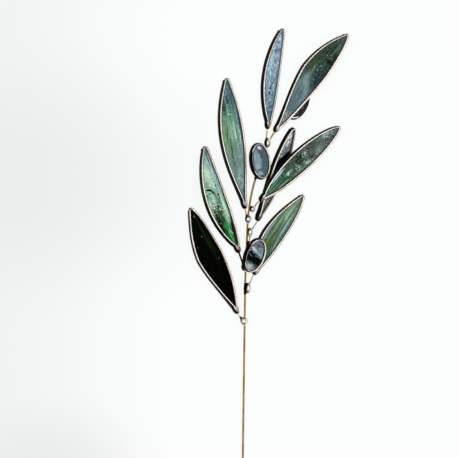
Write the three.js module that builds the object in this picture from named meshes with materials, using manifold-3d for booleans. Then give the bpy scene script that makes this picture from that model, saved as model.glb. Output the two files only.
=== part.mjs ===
// A stained-glass olive branch, lying face up: glass leaves and olives in solder rims, on brass wires
// soldered to a brass rod. Millimetres. +X is to the right, +Y runs along the rod to the tip, +Z is up.
// Sizes are laid out from the rod's cut end (Y = 0); at the end the branch is moved so that the origin
// is the bottom centre of its box.
import * as THREE from "three";
import { mergeVertices } from "three/addons/utils/BufferGeometryUtils.js";
import Module from "manifold-3d";

const wasm = await Module();
wasm.setup();

// Stock sizes
const ROD_DIAMETER = 1.6;
const WIRE_DIAMETER = 0.8;
const GLASS_THICKNESS = 3;

// Solder rim: a U round the pane's edge. Offsets run outwards from the edge of the glass. The lips are
// highest at the crest, and the outer side is a flat band as high as the rim's side.
const LIP_WIDTH = 0.9;
const LIP_HEIGHT = 0.55;
const CREST_OFFSET = -0.36;
const EDGE_BEAD = 0.7;
const RIM_SIDE_HEIGHT = 3.5;
const GLASS_GAP = 0.2;

// Leaf ends: the glass is rounded at base and tip, and the neck takes the wire in a socket.
const LEAF_END_RADIUS = 1.2;
const NECK_LENGTH = 4;
const NECK_RADIUS = 1.3;
const NECK_HEIGHT = 2.4;
const SOCKET_DEPTH = 2.9;
const WIRE_STRAIGHT_LENGTH = 1;
const SEAT_GAP = 0.2;

// How much is worn off a leaf's lowest edge where it rests on the surface, and a block as wide as the
// surface that takes it off.
const REST_FLAT_DEPTH = 0.15;
const SURFACE_SIZE = 1000;

// Fineness of the faceted surfaces
const SIDE_POINTS = 13;
const CAP_STEPS = 4;
const OLIVE_POINTS = 24;
const ROD_SIDES = 10;
const WIRE_SIDES = 8;
const BEAD_SIDES = 10;
const BEAD_RINGS = 7;
const ROD_STEPS = 26;
const WIRE_STEPS = 6;
const HALVING_LIMIT = 1e-9;

// The rod's axis, from its cut end to its top: x, y and height. It lies on the surface at the cut end
// and rises to where the leaves hold it.
const ROD_PATH = [
  [-2.5, 0, 0.8],
  [-1.4, 84, 2.9],
  [-0.3, 168, 6.2],
  [0.3, 205, 7.5],
  [1.3, 229.6, 8],
  [2.3, 248.5, 8.2],
  [5.5, 267.4, 8.2],
  [11.2, 285.3, 8.2],
  [15.5, 297.4, 8.4],
];

// Beads of solder on the rod: centre x and y, size along x, y and z. Each sits at the rod's height.
const JOINTS = {
  lowest: { at: [-0.7, 174.3], size: [5.4, 6.3, 5] },
  lower: { at: [1.5, 197.1], size: [4.8, 8, 4.6] },
  left: { at: [-0.5, 212.1], size: [4.2, 5.2, 4.4] },
  middle: { at: [2.9, 236.3], size: [4.6, 6, 4.6] },
  upper: { at: [1.9, 245.7], size: [4.4, 5.6, 4.8] },
  side: { at: [4.6, 252.7], size: [4.6, 4.8, 4.6] },
  top: { at: [15.6, 298.9], size: [5, 6.4, 4.8] },
};

// Leaves. base: x, y and height of the neck's end. heading: turn from +Y, to the left. rise: how much
// higher the tip is than the base. roll: the left edge is turned up by this angle. width: of the glass.
// peak: where the leaf is widest, as a share of the glass from its base. fullness: below 2 is full,
// above is slender. bow: how far the midline bends to the left, most at bowPeak. rests: it is lowered
// until it lies on the surface. joint, end: the bead its wire ends in, and where from its centre.
const LEAVES = [
  {
    name: "lower_left",
    base: [-4.4, 180, 8],
    heading: 24.7,
    rise: -3.5,
    roll: 24,
    length: 80.7,
    width: 17.8,
    peak: 0.51,
    fullness: 2.2,
    bow: 1.9,
    bowPeak: 0.66,
    rests: true,
    joint: "lowest",
    end: [-1.1, 0.6, 0.3],
    colour: 0x10160e,
  },
  {
    name: "middle_left",
    base: [-4.3, 222.3, 9],
    heading: 18.4,
    rise: -2,
    roll: 24,
    length: 77.7,
    width: 14.2,
    peak: 0.46,
    fullness: 1.75,
    bow: 4.3,
    bowPeak: 0.5,
    rests: false,
    joint: "left",
    end: [-0.4, 0.6, 0.4],
    colour: 0x4f8f6a,
  },
  {
    name: "upper_left",
    base: [0, 253.1, 9],
    heading: 8.3,
    rise: -4,
    roll: 22,
    length: 92.2,
    width: 16.3,
    peak: 0.55,
    fullness: 2.35,
    bow: 1.9,
    bowPeak: 0.5,
    rests: true,
    joint: "upper",
    end: [-0.8, 0.6, 1],
    colour: 0x6f9280,
  },
  {
    name: "top",
    base: [15.7, 309, 8],
    heading: -8.3,
    rise: -4,
    roll: 24,
    length: 71.2,
    width: 10.8,
    peak: 0.5,
    fullness: 1.85,
    bow: 3.1,
    bowPeak: 0.5,
    rests: true,
    joint: "top",
    end: [-1, 0.4, 0.3],
    colour: 0x8fa9bd,
  },
  {
    name: "top_right",
    base: [20.5, 306.7, 12],
    heading: -36.6,
    rise: -3,
    roll: 22,
    length: 85.1,
    width: 17,
    peak: 0.59,
    fullness: 2.1,
    bow: 2.4,
    bowPeak: 0.45,
    rests: false,
    joint: "top",
    end: [0.4, 0.6, 0.9],
    colour: 0x44564f,
  },
  {
    name: "upper_right",
    base: [10.2, 258.6, 11.8],
    heading: -47,
    rise: -3.5,
    roll: 22,
    length: 75.9,
    width: 14.1,
    peak: 0.47,
    fullness: 1.4,
    bow: 1,
    bowPeak: 0.35,
    rests: false,
    joint: "side",
    end: [0.5, 0.4, 0.3],
    colour: 0x4d5f50,
  },
  {
    name: "lower_right",
    base: [6.2, 206.8, 7],
    heading: -31.6,
    rise: -2,
    roll: 22,
    length: 65.3,
    width: 14.7,
    peak: 0.47,
    fullness: 1.6,
    bow: 3.3,
    bowPeak: 0.35,
    rests: true,
    joint: "lower",
    end: [0.5, 1.5, 0.3],
    colour: 0x6f9280,
  },
  {
    name: "middle_right",
    base: [8.6, 244.6, 4.5],
    heading: -21.2,
    rise: 2.5,
    roll: 38,
    length: 70.5,
    width: 10.7,
    peak: 0.55,
    fullness: 1.95,
    bow: -1,
    bowPeak: 0.33,
    rests: false,
    joint: "middle",
    end: [0.8, 0.9, -0.2],
    colour: 0x8c9699,
  },
];

// Olives. centre, heading, rise (top end over bottom end) and roll as for a leaf. holdAngle: where on
// the oval its bead sits, anticlockwise from its right side. wire: via is a point the wire passes.
const OLIVES = [
  {
    name: "upper",
    centre: [11.2, 286.3, 13.4],
    heading: 7,
    rise: 0,
    roll: 15,
    length: 25,
    width: 12.9,
    colour: 0x70858f,
  },
  {
    name: "lower",
    centre: [7, 220.5, 14.6],
    heading: -20,
    rise: 0,
    roll: 26,
    length: 23.4,
    width: 12.9,
    holdAngle: 150,
    via: [3.2, 231.6, 11],
    joint: "middle",
    end: [0.1, -1.2, 0.4],
    colour: 0x6b7b8a,
  },
  {
    name: "top",
    centre: [36.9, 327, 4.2],
    heading: -25,
    rise: -2.6,
    roll: 6,
    length: 23.6,
    width: 12.7,
    holdAngle: 244,
    via: [23, 308.6, 6.3],
    joint: "top",
    end: [1.2, -0.6, -0.7],
    colour: 0x23272f,
  },
];

const OLIVE_BEAD_SIZE = [3.4, 3.4, 3.4];

// How far below the pane's middle plane an olive's wire ends.
const HOLD_DROP = 1.2;

// The upper olive has no wire: its bead stands on the rod and reaches up to its rim.
const ROD_BEAD = { alongRod: 274.9, offset: [0.5, 0, 2.3], size: [4.4, 4.2, 5.8] };

const PALETTE = {
  solder: { color: 0xb9b7b2, roughness: 0.3, metalness: 1 },
  brass: { color: 0xa8873f, roughness: 0.3, metalness: 1 },
  glass: { roughness: 0.1, metalness: 0 },
};

function material(kind, color) {
  const settings = { ...PALETTE[kind] };
  if (color !== undefined) settings.color = color;
  return new THREE.MeshStandardMaterial(settings);
}

function namedMesh(name, geometry, meshMaterial) {
  const mesh = new THREE.Mesh(geometry, meshMaterial);
  mesh.name = name;
  return mesh;
}

// A curve over 0 to 1 that is 0 at both ends and 1 at its peak.
function hump(t, peak, fullness) {
  return (
    Math.pow(t / peak, fullness * peak) *
    Math.pow((1 - t) / (1 - peak), fullness * (1 - peak))
  );
}

// A half circle of points round (x, y), from the angle `start`, anticlockwise.
function capPoints(x, y, radius, start) {
  return Array.from({ length: CAP_STEPS + 1 }, (_, i) => {
    const angle = start + (Math.PI * i) / CAP_STEPS;
    return new THREE.Vector2(x + radius * Math.cos(angle), y + radius * Math.sin(angle));
  });
}

// The outline of a leaf's glass, grown outwards by `grow`: round the base, up the right side, round the
// tip and down the left side. With `neck` the base runs out into the solder neck, whose end is y = 0.
function leafRing(leaf, grow, neck = false) {
  const baseY = NECK_LENGTH + LEAF_END_RADIUS;
  const tipY = leaf.length - EDGE_BEAD - LEAF_END_RADIUS;
  const endRadius = LEAF_END_RADIUS + grow;
  const side = (i, sign) => {
    const t = (1 - Math.cos((Math.PI * i) / (SIDE_POINTS + 1))) / 2;
    const spread = leaf.width / 2 - LEAF_END_RADIUS;
    const half = endRadius + spread * hump(t, leaf.peak, leaf.fullness);
    const spine = -leaf.bow * hump(t, leaf.bowPeak, 2);
    return new THREE.Vector2(spine + sign * half, baseY + t * (tipY - baseY));
  };
  const steps = Array.from({ length: SIDE_POINTS }, (_, i) => i + 1);
  const base = neck
    ? capPoints(0, NECK_RADIUS, NECK_RADIUS, Math.PI)
    : capPoints(0, baseY, endRadius, Math.PI);
  return [
    ...base,
    ...steps.map((i) => side(i, 1)),
    ...capPoints(0, tipY, endRadius, 0),
    ...steps.reverse().map((i) => side(i, -1)),
  ];
}

// A point on an olive's oval, grown outwards by `grow`.
function ovalPoint(olive, grow, angle) {
  return new THREE.Vector2(
    (olive.width / 2 + grow) * Math.cos(angle),
    (olive.length / 2 + grow) * Math.sin(angle),
  );
}

function oliveRing(olive, grow) {
  return Array.from({ length: OLIVE_POINTS }, (_, i) =>
    ovalPoint(olive, grow, (2 * Math.PI * i) / OLIVE_POINTS),
  );
}

// A flat slab with the ring's outline, centred on its own plane.
function slabGeometry(ring, thickness) {
  const slab = new THREE.ExtrudeGeometry(new THREE.Shape(ring), {
    depth: thickness,
    bevelEnabled: false,
  });
  return slab.translate(0, 0, -thickness / 2);
}

// The rim: its U-shaped section, swept round the outline. Each corner of the section is an offset from
// the glass edge and a height. On a leaf the two outermost corners also draw out the neck.
function rimGeometry(ringAt, hasNeck) {
  const grooveHeight = GLASS_THICKNESS / 2 + GLASS_GAP;
  const topHeight = grooveHeight + LIP_HEIGHT;
  const section = [
    [-LIP_WIDTH, grooveHeight],
    [GLASS_GAP, grooveHeight],
    [GLASS_GAP, -grooveHeight],
    [-LIP_WIDTH, -grooveHeight],
    [CREST_OFFSET, -topHeight],
    [EDGE_BEAD, -RIM_SIDE_HEIGHT / 2],
    [EDGE_BEAD, RIM_SIDE_HEIGHT / 2],
    [CREST_OFFSET, topHeight],
  ];
  const positions = [];
  for (const [offset, height] of section) {
    const outermost = offset === EDGE_BEAD;
    ringAt(offset, hasNeck && outermost).forEach((point, i) => {
      const onNeck = hasNeck && outermost && i <= CAP_STEPS;
      const z = onNeck ? (Math.sign(height) * NECK_HEIGHT) / 2 : height;
      positions.push(point.x, point.y, z);
    });
  }
  const around = positions.length / 3 / section.length;
  const faces = [];
  section.forEach((_, corner) => {
    const nextCorner = (corner + 1) % section.length;
    for (let i = 0; i < around; i++) {
      const j = (i + 1) % around;
      const [a, b] = [corner * around + i, corner * around + j];
      const [c, d] = [nextCorner * around + i, nextCorner * around + j];
      faces.push(a, b, c, b, d, c);
    }
  });
  const geometry = new THREE.BufferGeometry();
  geometry.setAttribute("position", new THREE.Float32BufferAttribute(positions, 3));
  geometry.setIndex(faces);
  return geometry;
}

// A round bar along a smooth curve through the points.
function barGeometry(points, radius, sides, steps) {
  const section = new THREE.Shape(
    Array.from({ length: sides }, (_, i) => {
      const angle = (2 * Math.PI * i) / sides;
      return new THREE.Vector2(radius * Math.cos(angle), radius * Math.sin(angle));
    }),
  );
  return new THREE.ExtrudeGeometry(section, {
    extrudePath: new THREE.CatmullRomCurve3(points, false, "centripetal"),
    steps,
    bevelEnabled: false,
  });
}

function beadGeometry(centre, size) {
  return new THREE.SphereGeometry(0.5, BEAD_SIDES, BEAD_RINGS)
    .scale(...size)
    .translate(centre.x, centre.y, centre.z);
}

function toSolid(geometry) {
  const bare = geometry.clone();
  bare.deleteAttribute("normal");
  bare.deleteAttribute("uv");
  const merged = mergeVertices(bare, 1e-4);
  return new wasm.Manifold(
    new wasm.Mesh({
      numProp: 3,
      vertProperties: merged.attributes.position.array,
      triVerts: new Uint32Array(merged.index.array),
    }),
  );
}

function toGeometry(solid) {
  const { vertProperties, triVerts } = solid.getMesh();
  const geometry = new THREE.BufferGeometry();
  geometry.setAttribute("position", new THREE.BufferAttribute(vertProperties, 3));
  geometry.setIndex(new THREE.BufferAttribute(triVerts, 1));
  return geometry;
}

// Cuts tools, given in the branch's frame, out of a mesh that stands in a turned group.
function cutFrom(mesh, tools) {
  mesh.updateWorldMatrix(true, false);
  const toLocal = mesh.matrixWorld.clone().invert();
  const left = tools.reduce(
    (body, tool) => body.subtract(toSolid(tool.clone().applyMatrix4(toLocal))),
    toSolid(mesh.geometry),
  );
  mesh.geometry = toGeometry(left);
}

const branch = new THREE.Group();
const rodCurve = new THREE.CatmullRomCurve3(
  ROD_PATH.map((p) => new THREE.Vector3(...p)),
  false,
  "centripetal",
);

// The rod's axis at the height y of the branch, found by halving.
function rodPointAt(y) {
  let [low, high] = [0, 1];
  while (high - low > HALVING_LIMIT) {
    const middle = (low + high) / 2;
    if (rodCurve.getPoint(middle).y < y) low = middle;
    else high = middle;
  }
  return rodCurve.getPoint(low);
}

// What clears a bar's seat in the solder: the bar, thicker and longer by the gap.
function seatTool(points, radius, sides, steps) {
  const reach = (end, inner) => end.clone().sub(inner).setLength(SEAT_GAP).add(end);
  const last = points.length - 1;
  const longer = [
    reach(points[0], points[1]),
    ...points.slice(1, last),
    reach(points[last], points[last - 1]),
  ];
  return barGeometry(longer, radius + SEAT_GAP, sides, steps);
}

const rodPoints = ROD_PATH.map((p) => new THREE.Vector3(...p));
const rodTool = seatTool(rodPoints, ROD_DIAMETER / 2, ROD_SIDES, ROD_STEPS);
const surfaceTool = new THREE.BoxGeometry(SURFACE_SIZE, SURFACE_SIZE, SURFACE_SIZE).translate(
  0,
  0,
  -SURFACE_SIZE / 2,
);

// A pane in its rim, as a group whose plane is the pane's own plane.
function framedPane(kind, piece, ringAt) {
  const group = new THREE.Group();
  group.rotation.order = "ZXY";
  group.rotation.z = THREE.MathUtils.degToRad(piece.heading);
  group.rotation.x = Math.asin(piece.rise / piece.length);
  group.rotation.y = THREE.MathUtils.degToRad(piece.roll);
  const rim = namedMesh(
    `${kind}_${piece.name}_rim`,
    rimGeometry(ringAt, kind === "leaf"),
    material("solder"),
  );
  const pane = namedMesh(
    `${kind}_${piece.name}_glass`,
    slabGeometry(ringAt(0), GLASS_THICKNESS),
    material("glass", piece.colour),
  );
  group.add(rim, pane);
  branch.add(group);
  return { group, rim };
}

// Adds a wire through the points and returns the tool that clears its seats.
function addWire(name, points) {
  const bar = barGeometry(points, WIRE_DIAMETER / 2, WIRE_SIDES, WIRE_STEPS);
  branch.add(namedMesh(name, bar, material("brass")));
  return seatTool(points, WIRE_DIAMETER / 2, WIRE_SIDES, WIRE_STEPS);
}

function jointCentre(name) {
  const [x, y] = JOINTS[name].at;
  return new THREE.Vector3(x, y, rodPointAt(y).z);
}

const wiresInJoint = Object.fromEntries(Object.keys(JOINTS).map((name) => [name, []]));

function addLeaf(leaf) {
  const { group, rim } = framedPane("leaf", leaf, (grow, neck) => leafRing(leaf, grow, neck));
  group.position.set(...leaf.base);
  group.updateMatrixWorld(true);
  if (leaf.rests) {
    const lowest = new THREE.Box3().setFromObject(rim, true).min.z;
    group.position.z -= lowest + REST_FLAT_DEPTH;
    group.updateMatrixWorld(true);
  }
  const alongNeck = (y) => group.localToWorld(new THREE.Vector3(0, y, 0));
  const end = jointCentre(leaf.joint).add(new THREE.Vector3(...leaf.end));
  const tool = addWire(`leaf_${leaf.name}_wire`, [
    alongNeck(SOCKET_DEPTH),
    alongNeck(0),
    alongNeck(-WIRE_STRAIGHT_LENGTH),
    end,
  ]);
  wiresInJoint[leaf.joint].push(tool);
  cutFrom(rim, leaf.rests ? [tool, surfaceTool] : [tool]);
}

// The space an olive's framed pane fills, with room to spare.
function envelopeTool(olive, group) {
  const height = GLASS_THICKNESS + 2 * (GLASS_GAP + LIP_HEIGHT + SEAT_GAP);
  return slabGeometry(oliveRing(olive, EDGE_BEAD + SEAT_GAP), height).applyMatrix4(
    group.matrixWorld,
  );
}

function addOlive(olive) {
  const { group } = framedPane("olive", olive, (grow) => oliveRing(olive, grow));
  group.position.set(...olive.centre);
  group.updateMatrixWorld(true);
  const tools = [envelopeTool(olive, group)];
  const bead = namedMesh(`olive_${olive.name}_bead`, undefined, material("solder"));
  if (olive.joint) {
    const angle = THREE.MathUtils.degToRad(olive.holdAngle);
    const hold = ovalPoint(olive, EDGE_BEAD + SEAT_GAP + WIRE_DIAMETER / 2, angle);
    const start = group.localToWorld(new THREE.Vector3(hold.x, hold.y, -HOLD_DROP));
    const end = jointCentre(olive.joint).add(new THREE.Vector3(...olive.end));
    const via = new THREE.Vector3(...olive.via);
    const tool = addWire(`olive_${olive.name}_wire`, [start, via, end]);
    wiresInJoint[olive.joint].push(tool);
    tools.push(tool);
    bead.geometry = beadGeometry(start, OLIVE_BEAD_SIZE);
  } else {
    const centre = rodPointAt(ROD_BEAD.alongRod).add(new THREE.Vector3(...ROD_BEAD.offset));
    tools.push(rodTool);
    bead.geometry = beadGeometry(centre, ROD_BEAD.size);
  }
  cutFrom(bead, tools);
  branch.add(bead);
}

function addJoint(name) {
  const bead = namedMesh(
    `joint_${name}`,
    beadGeometry(jointCentre(name), JOINTS[name].size),
    material("solder"),
  );
  cutFrom(bead, [rodTool, ...wiresInJoint[name]]);
  branch.add(bead);
}

branch.add(
  namedMesh(
    "stem_rod",
    barGeometry(rodPoints, ROD_DIAMETER / 2, ROD_SIDES, ROD_STEPS),
    material("brass"),
  ),
);
LEAVES.forEach(addLeaf);
OLIVES.forEach(addOlive);
Object.keys(JOINTS).forEach(addJoint);

const box = new THREE.Box3().setFromObject(branch, true);
const centre = box.getCenter(new THREE.Vector3());
branch.position.set(-centre.x, -centre.y, 0);

export default branch;
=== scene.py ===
"""The looks of a stained-glass olive branch, lying face up on a pale floor.

Leaves and olives are panes of streaky art glass in rims of hand-laid solder, on brass wires that are
soldered to a gently curved brass rod. Sizes are in millimetres in the branch's own layout, where Y = 0 is
the rod's cut end, and are moved into the frame by an offset that is read from the frame.
"""

import logging
import math
from dataclasses import dataclass, field, replace
from enum import Enum
from typing import Callable, Optional, Sequence, Union

import bmesh
import bpy
from mathutils import Matrix, Vector

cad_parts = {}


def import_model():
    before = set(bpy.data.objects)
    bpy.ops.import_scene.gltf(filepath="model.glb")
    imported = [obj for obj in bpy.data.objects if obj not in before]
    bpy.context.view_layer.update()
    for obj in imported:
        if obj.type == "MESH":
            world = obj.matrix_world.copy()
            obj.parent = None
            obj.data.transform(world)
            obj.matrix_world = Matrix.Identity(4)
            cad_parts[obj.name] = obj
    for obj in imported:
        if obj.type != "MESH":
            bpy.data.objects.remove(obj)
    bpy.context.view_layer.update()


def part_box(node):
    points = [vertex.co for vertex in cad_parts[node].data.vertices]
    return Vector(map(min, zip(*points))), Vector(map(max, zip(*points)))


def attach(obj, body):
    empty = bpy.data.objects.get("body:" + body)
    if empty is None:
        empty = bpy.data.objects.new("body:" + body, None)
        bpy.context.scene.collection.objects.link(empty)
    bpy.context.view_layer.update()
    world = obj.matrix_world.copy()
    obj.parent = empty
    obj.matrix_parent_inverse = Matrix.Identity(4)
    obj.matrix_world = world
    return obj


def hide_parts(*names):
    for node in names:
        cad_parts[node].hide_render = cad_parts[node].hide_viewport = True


log = logging.getLogger("olive_branch")

MM = 0.001
BODY = "root"

ROD_DIAMETER = 1.38
WIRE_DIAMETER = 0.8
WIRE_SIDES = 14
GLASS_THICKNESS = 3.0
LEAF_END_RADIUS = 1.45
LEAF_BASE_RADIUS = 0.95
EDGE_BEAD = 0.7
NECK_LENGTH = 4.0
NECK_HALF_HEIGHT = 1.2
SOCKET_DEPTH = 2.9
WIRE_STRAIGHT_LENGTH = 1.0
HOLD_DROP = 1.2
SEAT_GAP = 0.2

REFERENCE_NODE = "olive_lower_glass"
REFERENCE_PLACE = (7.0, 220.5)

# How dark brass is along the wires: below zero, lightened by a painted highlight that stands for the
# glints on thin wires.
WIRE_PAINTED_HIGHLIGHT = -0.75
# How strongly each finer layer of a noise shows beside the one before.
FINER = 0.55
# A noise keeps near its middle, so its swing is spread by this much.
NOISE_SPREAD = 3.0
# Height and length of the waves in a pane's face, and the lengths of those in solder.
PANE_WAVES = {"Swell": 0.07 * MM, "Swell Length": 7 * MM, "Ripple": 0.012 * MM, "Ripple Length": 1.8 * MM}
SOLDER_WAVES = {"Swell Length": 3.5 * MM, "Ripple Length": 1.2 * MM}
# Where the seeds of each sort of piece start.
RIM_SEED = 10.0
PANE_SEED = 30.0
JOINT_SEED = 60
OLIVE_BEAD_SEED = 70

Point = tuple[float, float, float]
Socket = bpy.types.NodeSocket
Tree = bpy.types.NodeTree
Piece = bpy.types.Object
Mesh = bpy.types.Mesh


def linear(hex_colour: str) -> tuple[float, float, float, float]:
    """Turns an sRGB hex colour into linear RGBA.

    Args:
        hex_colour: Six hex digits, such as "a8873f".

    Returns:
        Red, green and blue as linear light, and an alpha of 1.
    """

    def channel(start: int) -> float:
        """One channel, from sRGB to linear."""
        value = int(hex_colour[start : start + 2], 16) / 255
        return value / 12.92 if value <= 0.04045 else ((value + 0.055) / 1.055) ** 2.4

    return (channel(0), channel(2), channel(4), 1.0)


class Kind(Enum):
    """The kinds of node used here: Blender's name for each and the settings that it always has. The inputs of
    NOISE are, in order, coordinates, seed, 1 / size, finer layers and FINER. EASE turns a value from low..high
    into bottom..top with soft ends, and its inputs are value, low, high, bottom and top."""

    PLACE = "ShaderNodeTexCoord", {}
    MARK = "ShaderNodeAttribute", {}
    MAPPING = "ShaderNodeMapping", {"vector_type": "TEXTURE"}
    SPLIT = "ShaderNodeSeparateXYZ", {}
    STRETCH = "ShaderNodeVectorMath", {"operation": "MULTIPLY"}
    VECTOR = "ShaderNodeVectorMath", {}
    PLUS = "ShaderNodeMath", {"operation": "ADD"}
    MINUS = "ShaderNodeMath", {"operation": "SUBTRACT"}
    TIMES = "ShaderNodeMath", {"operation": "MULTIPLY"}
    SHARE = "ShaderNodeMath", {"operation": "DIVIDE"}
    EASE = "ShaderNodeMapRange", {"interpolation_type": "SMOOTHSTEP"}
    NOISE = "ShaderNodeTexNoise", {"noise_dimensions": "4D"}
    CELLS = "ShaderNodeTexVoronoi", {"voronoi_dimensions": "4D"}
    RAMP = "ShaderNodeValToRGB", {}
    MIX = "ShaderNodeMixRGB", {}
    BUMP = "ShaderNodeBump", {}
    PRINCIPLED = "ShaderNodeBsdfPrincipled", {}
    DIFFUSE = "ShaderNodeBsdfDiffuse", {}
    GLOW = "ShaderNodeEmission", {}
    BOTH = "ShaderNodeAddShader", {}
    FINISH = "ShaderNodeOutputMaterial", {}
    ROOM = "ShaderNodeBackground", {}
    ROOM_FINISH = "ShaderNodeOutputWorld", {}
    GIVEN = "NodeGroupInput", {}
    RESULT = "NodeGroupOutput", {}
    POSITION = "GeometryNodeInputPosition", {}
    NORMAL = "GeometryNodeInputNormal", {}
    NAMED_MARK = "GeometryNodeInputNamedAttribute", {"data_type": "FLOAT"}
    MOVE = "GeometryNodeSetPosition", {}
    PATH = "GeometryNodeMeshToCurve", {}
    RING = "GeometryNodeCurvePrimitiveCircle", {"mode": "RADIUS"}
    SWEEP = "GeometryNodeCurveToMesh", {}
    SMOOTH = "GeometryNodeSetShadeSmooth", {}
    REAL = "GeometryNodeRealizeInstances", {}
    DRESS = "GeometryNodeSetMaterial", {}


def add(tree: Tree, kind: Kind, inputs: Union[Sequence, dict] = (), out: Union[int, str] = 0,
        **settings: object) -> Optional[Socket]:
    """Adds a node to a tree, with its settings and links.

    Args:
        tree: The shader or geometry tree.
        kind: The kind of node.
        inputs: In the order of its sockets, or by their names or numbers: values, or the sockets that feed them.
        out: The output that is given back.
        **settings: The node's own properties, beside those that its kind always has.

    Returns:
        The output's socket, or None from a node that has none.
    """
    name, usual = kind.value
    node = tree.nodes.new(name)
    for key, value in {**usual, **settings}.items():
        setattr(node, key, value)
    for key, value in inputs.items() if isinstance(inputs, dict) else enumerate(inputs):
        if isinstance(value, Socket):
            tree.links.new(value, node.inputs[key])
        else:
            node.inputs[key].default_value = value
    return node.outputs[out] if node.outputs else None


def new_material(name: str) -> tuple[bpy.types.Material, Tree, Socket]:
    """Makes an empty node material.

    Args:
        name: The material's name.

    Returns:
        The material, its node tree and the piece's own coordinates, in metres.
    """
    material = bpy.data.materials.new(name)
    material.use_nodes = True
    tree = material.node_tree
    tree.nodes.clear()
    return material, tree, add(tree, Kind.PLACE, out="Object")


@dataclass(frozen=True)
class DrawnBrass:
    """Bright drawn brass wire and rod: warm yellow metal with faint lines along it and a thin brown film. The
    attribute "patina" says how dark it is, or below zero how far a painted highlight lightens it, which
    stands for the glints on thin wires."""

    name: str = "drawn_brass"
    bright: str = "b4903e"
    film: str = "6e5620"
    painted_highlight: str = "e2cc86"
    glancing: str = "c8aa5a"
    patina: str = "0d0b08"
    film_patch_mm: float = 7.0
    speckle_mm: float = 0.9
    draw_line_mm: float = 0.12
    draw_line_width: float = 0.03
    draw_line_depth_mm: float = 0.02
    roughness: float = 0.28

    def build(self) -> bpy.types.Material:
        """Builds the material: brass under a patchy film, with draw lines in its roughness and relief.

        Returns:
            The material.
        """
        material, tree, place = new_material(self.name)
        millimetres = add(tree, Kind.STRETCH, (place, (1 / MM,) * 3))
        along = add(tree, Kind.STRETCH, (millimetres, (1.0, self.draw_line_width, 1.0)))
        lines = add(tree, Kind.NOISE, (along, 3.0, 1 / self.draw_line_mm, 2.0, FINER))
        patches = add(tree, Kind.NOISE, (millimetres, 8.0, 1 / self.film_patch_mm, 3.0, FINER))
        speckle = add(tree, Kind.NOISE, (millimetres, 5.0, 1 / self.speckle_mm, 2.0, FINER))
        film = add(tree, Kind.PLUS, (add(tree, Kind.EASE, (patches, 0.4, 0.68, 0.0, 0.6)),
                                     add(tree, Kind.EASE, (speckle, 0.5, 0.75, 0.0, 0.3))), use_clamp=True)
        colour = add(tree, Kind.MIX, (film, linear(self.bright), linear(self.film)))
        dark = add(tree, Kind.MARK, out="Fac", attribute_name="patina")
        painted_highlight = add(tree, Kind.EASE, (dark, -1.0, 0.0, 1.0, 0.0))
        colour = add(tree, Kind.MIX, (painted_highlight, colour, linear(self.painted_highlight)))
        colour = add(tree, Kind.MIX, (dark, colour, linear(self.patina)))
        worn = add(tree, Kind.EASE, (patches, 0.3, 0.7, self.roughness - 0.05, self.roughness + 0.08))
        roughness = add(tree, Kind.PLUS, (add(tree, Kind.EASE, (lines, 0.3, 0.7, 0.0, 0.12)), worn))
        bump = add(tree, Kind.BUMP, {"Height": lines, "Strength": 0.12, "Distance": self.draw_line_depth_mm * MM})
        metallic = add(tree, Kind.EASE, (dark, 0.5, 1.0, 1.0, 0.2))
        shader = add(tree, Kind.PRINCIPLED, {"Base Color": colour, "Metallic": metallic, "Roughness": roughness,
                     "Specular Tint": linear(self.glancing), "Normal": bump})
        add(tree, Kind.FINISH, (shader,))
        return material


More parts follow.
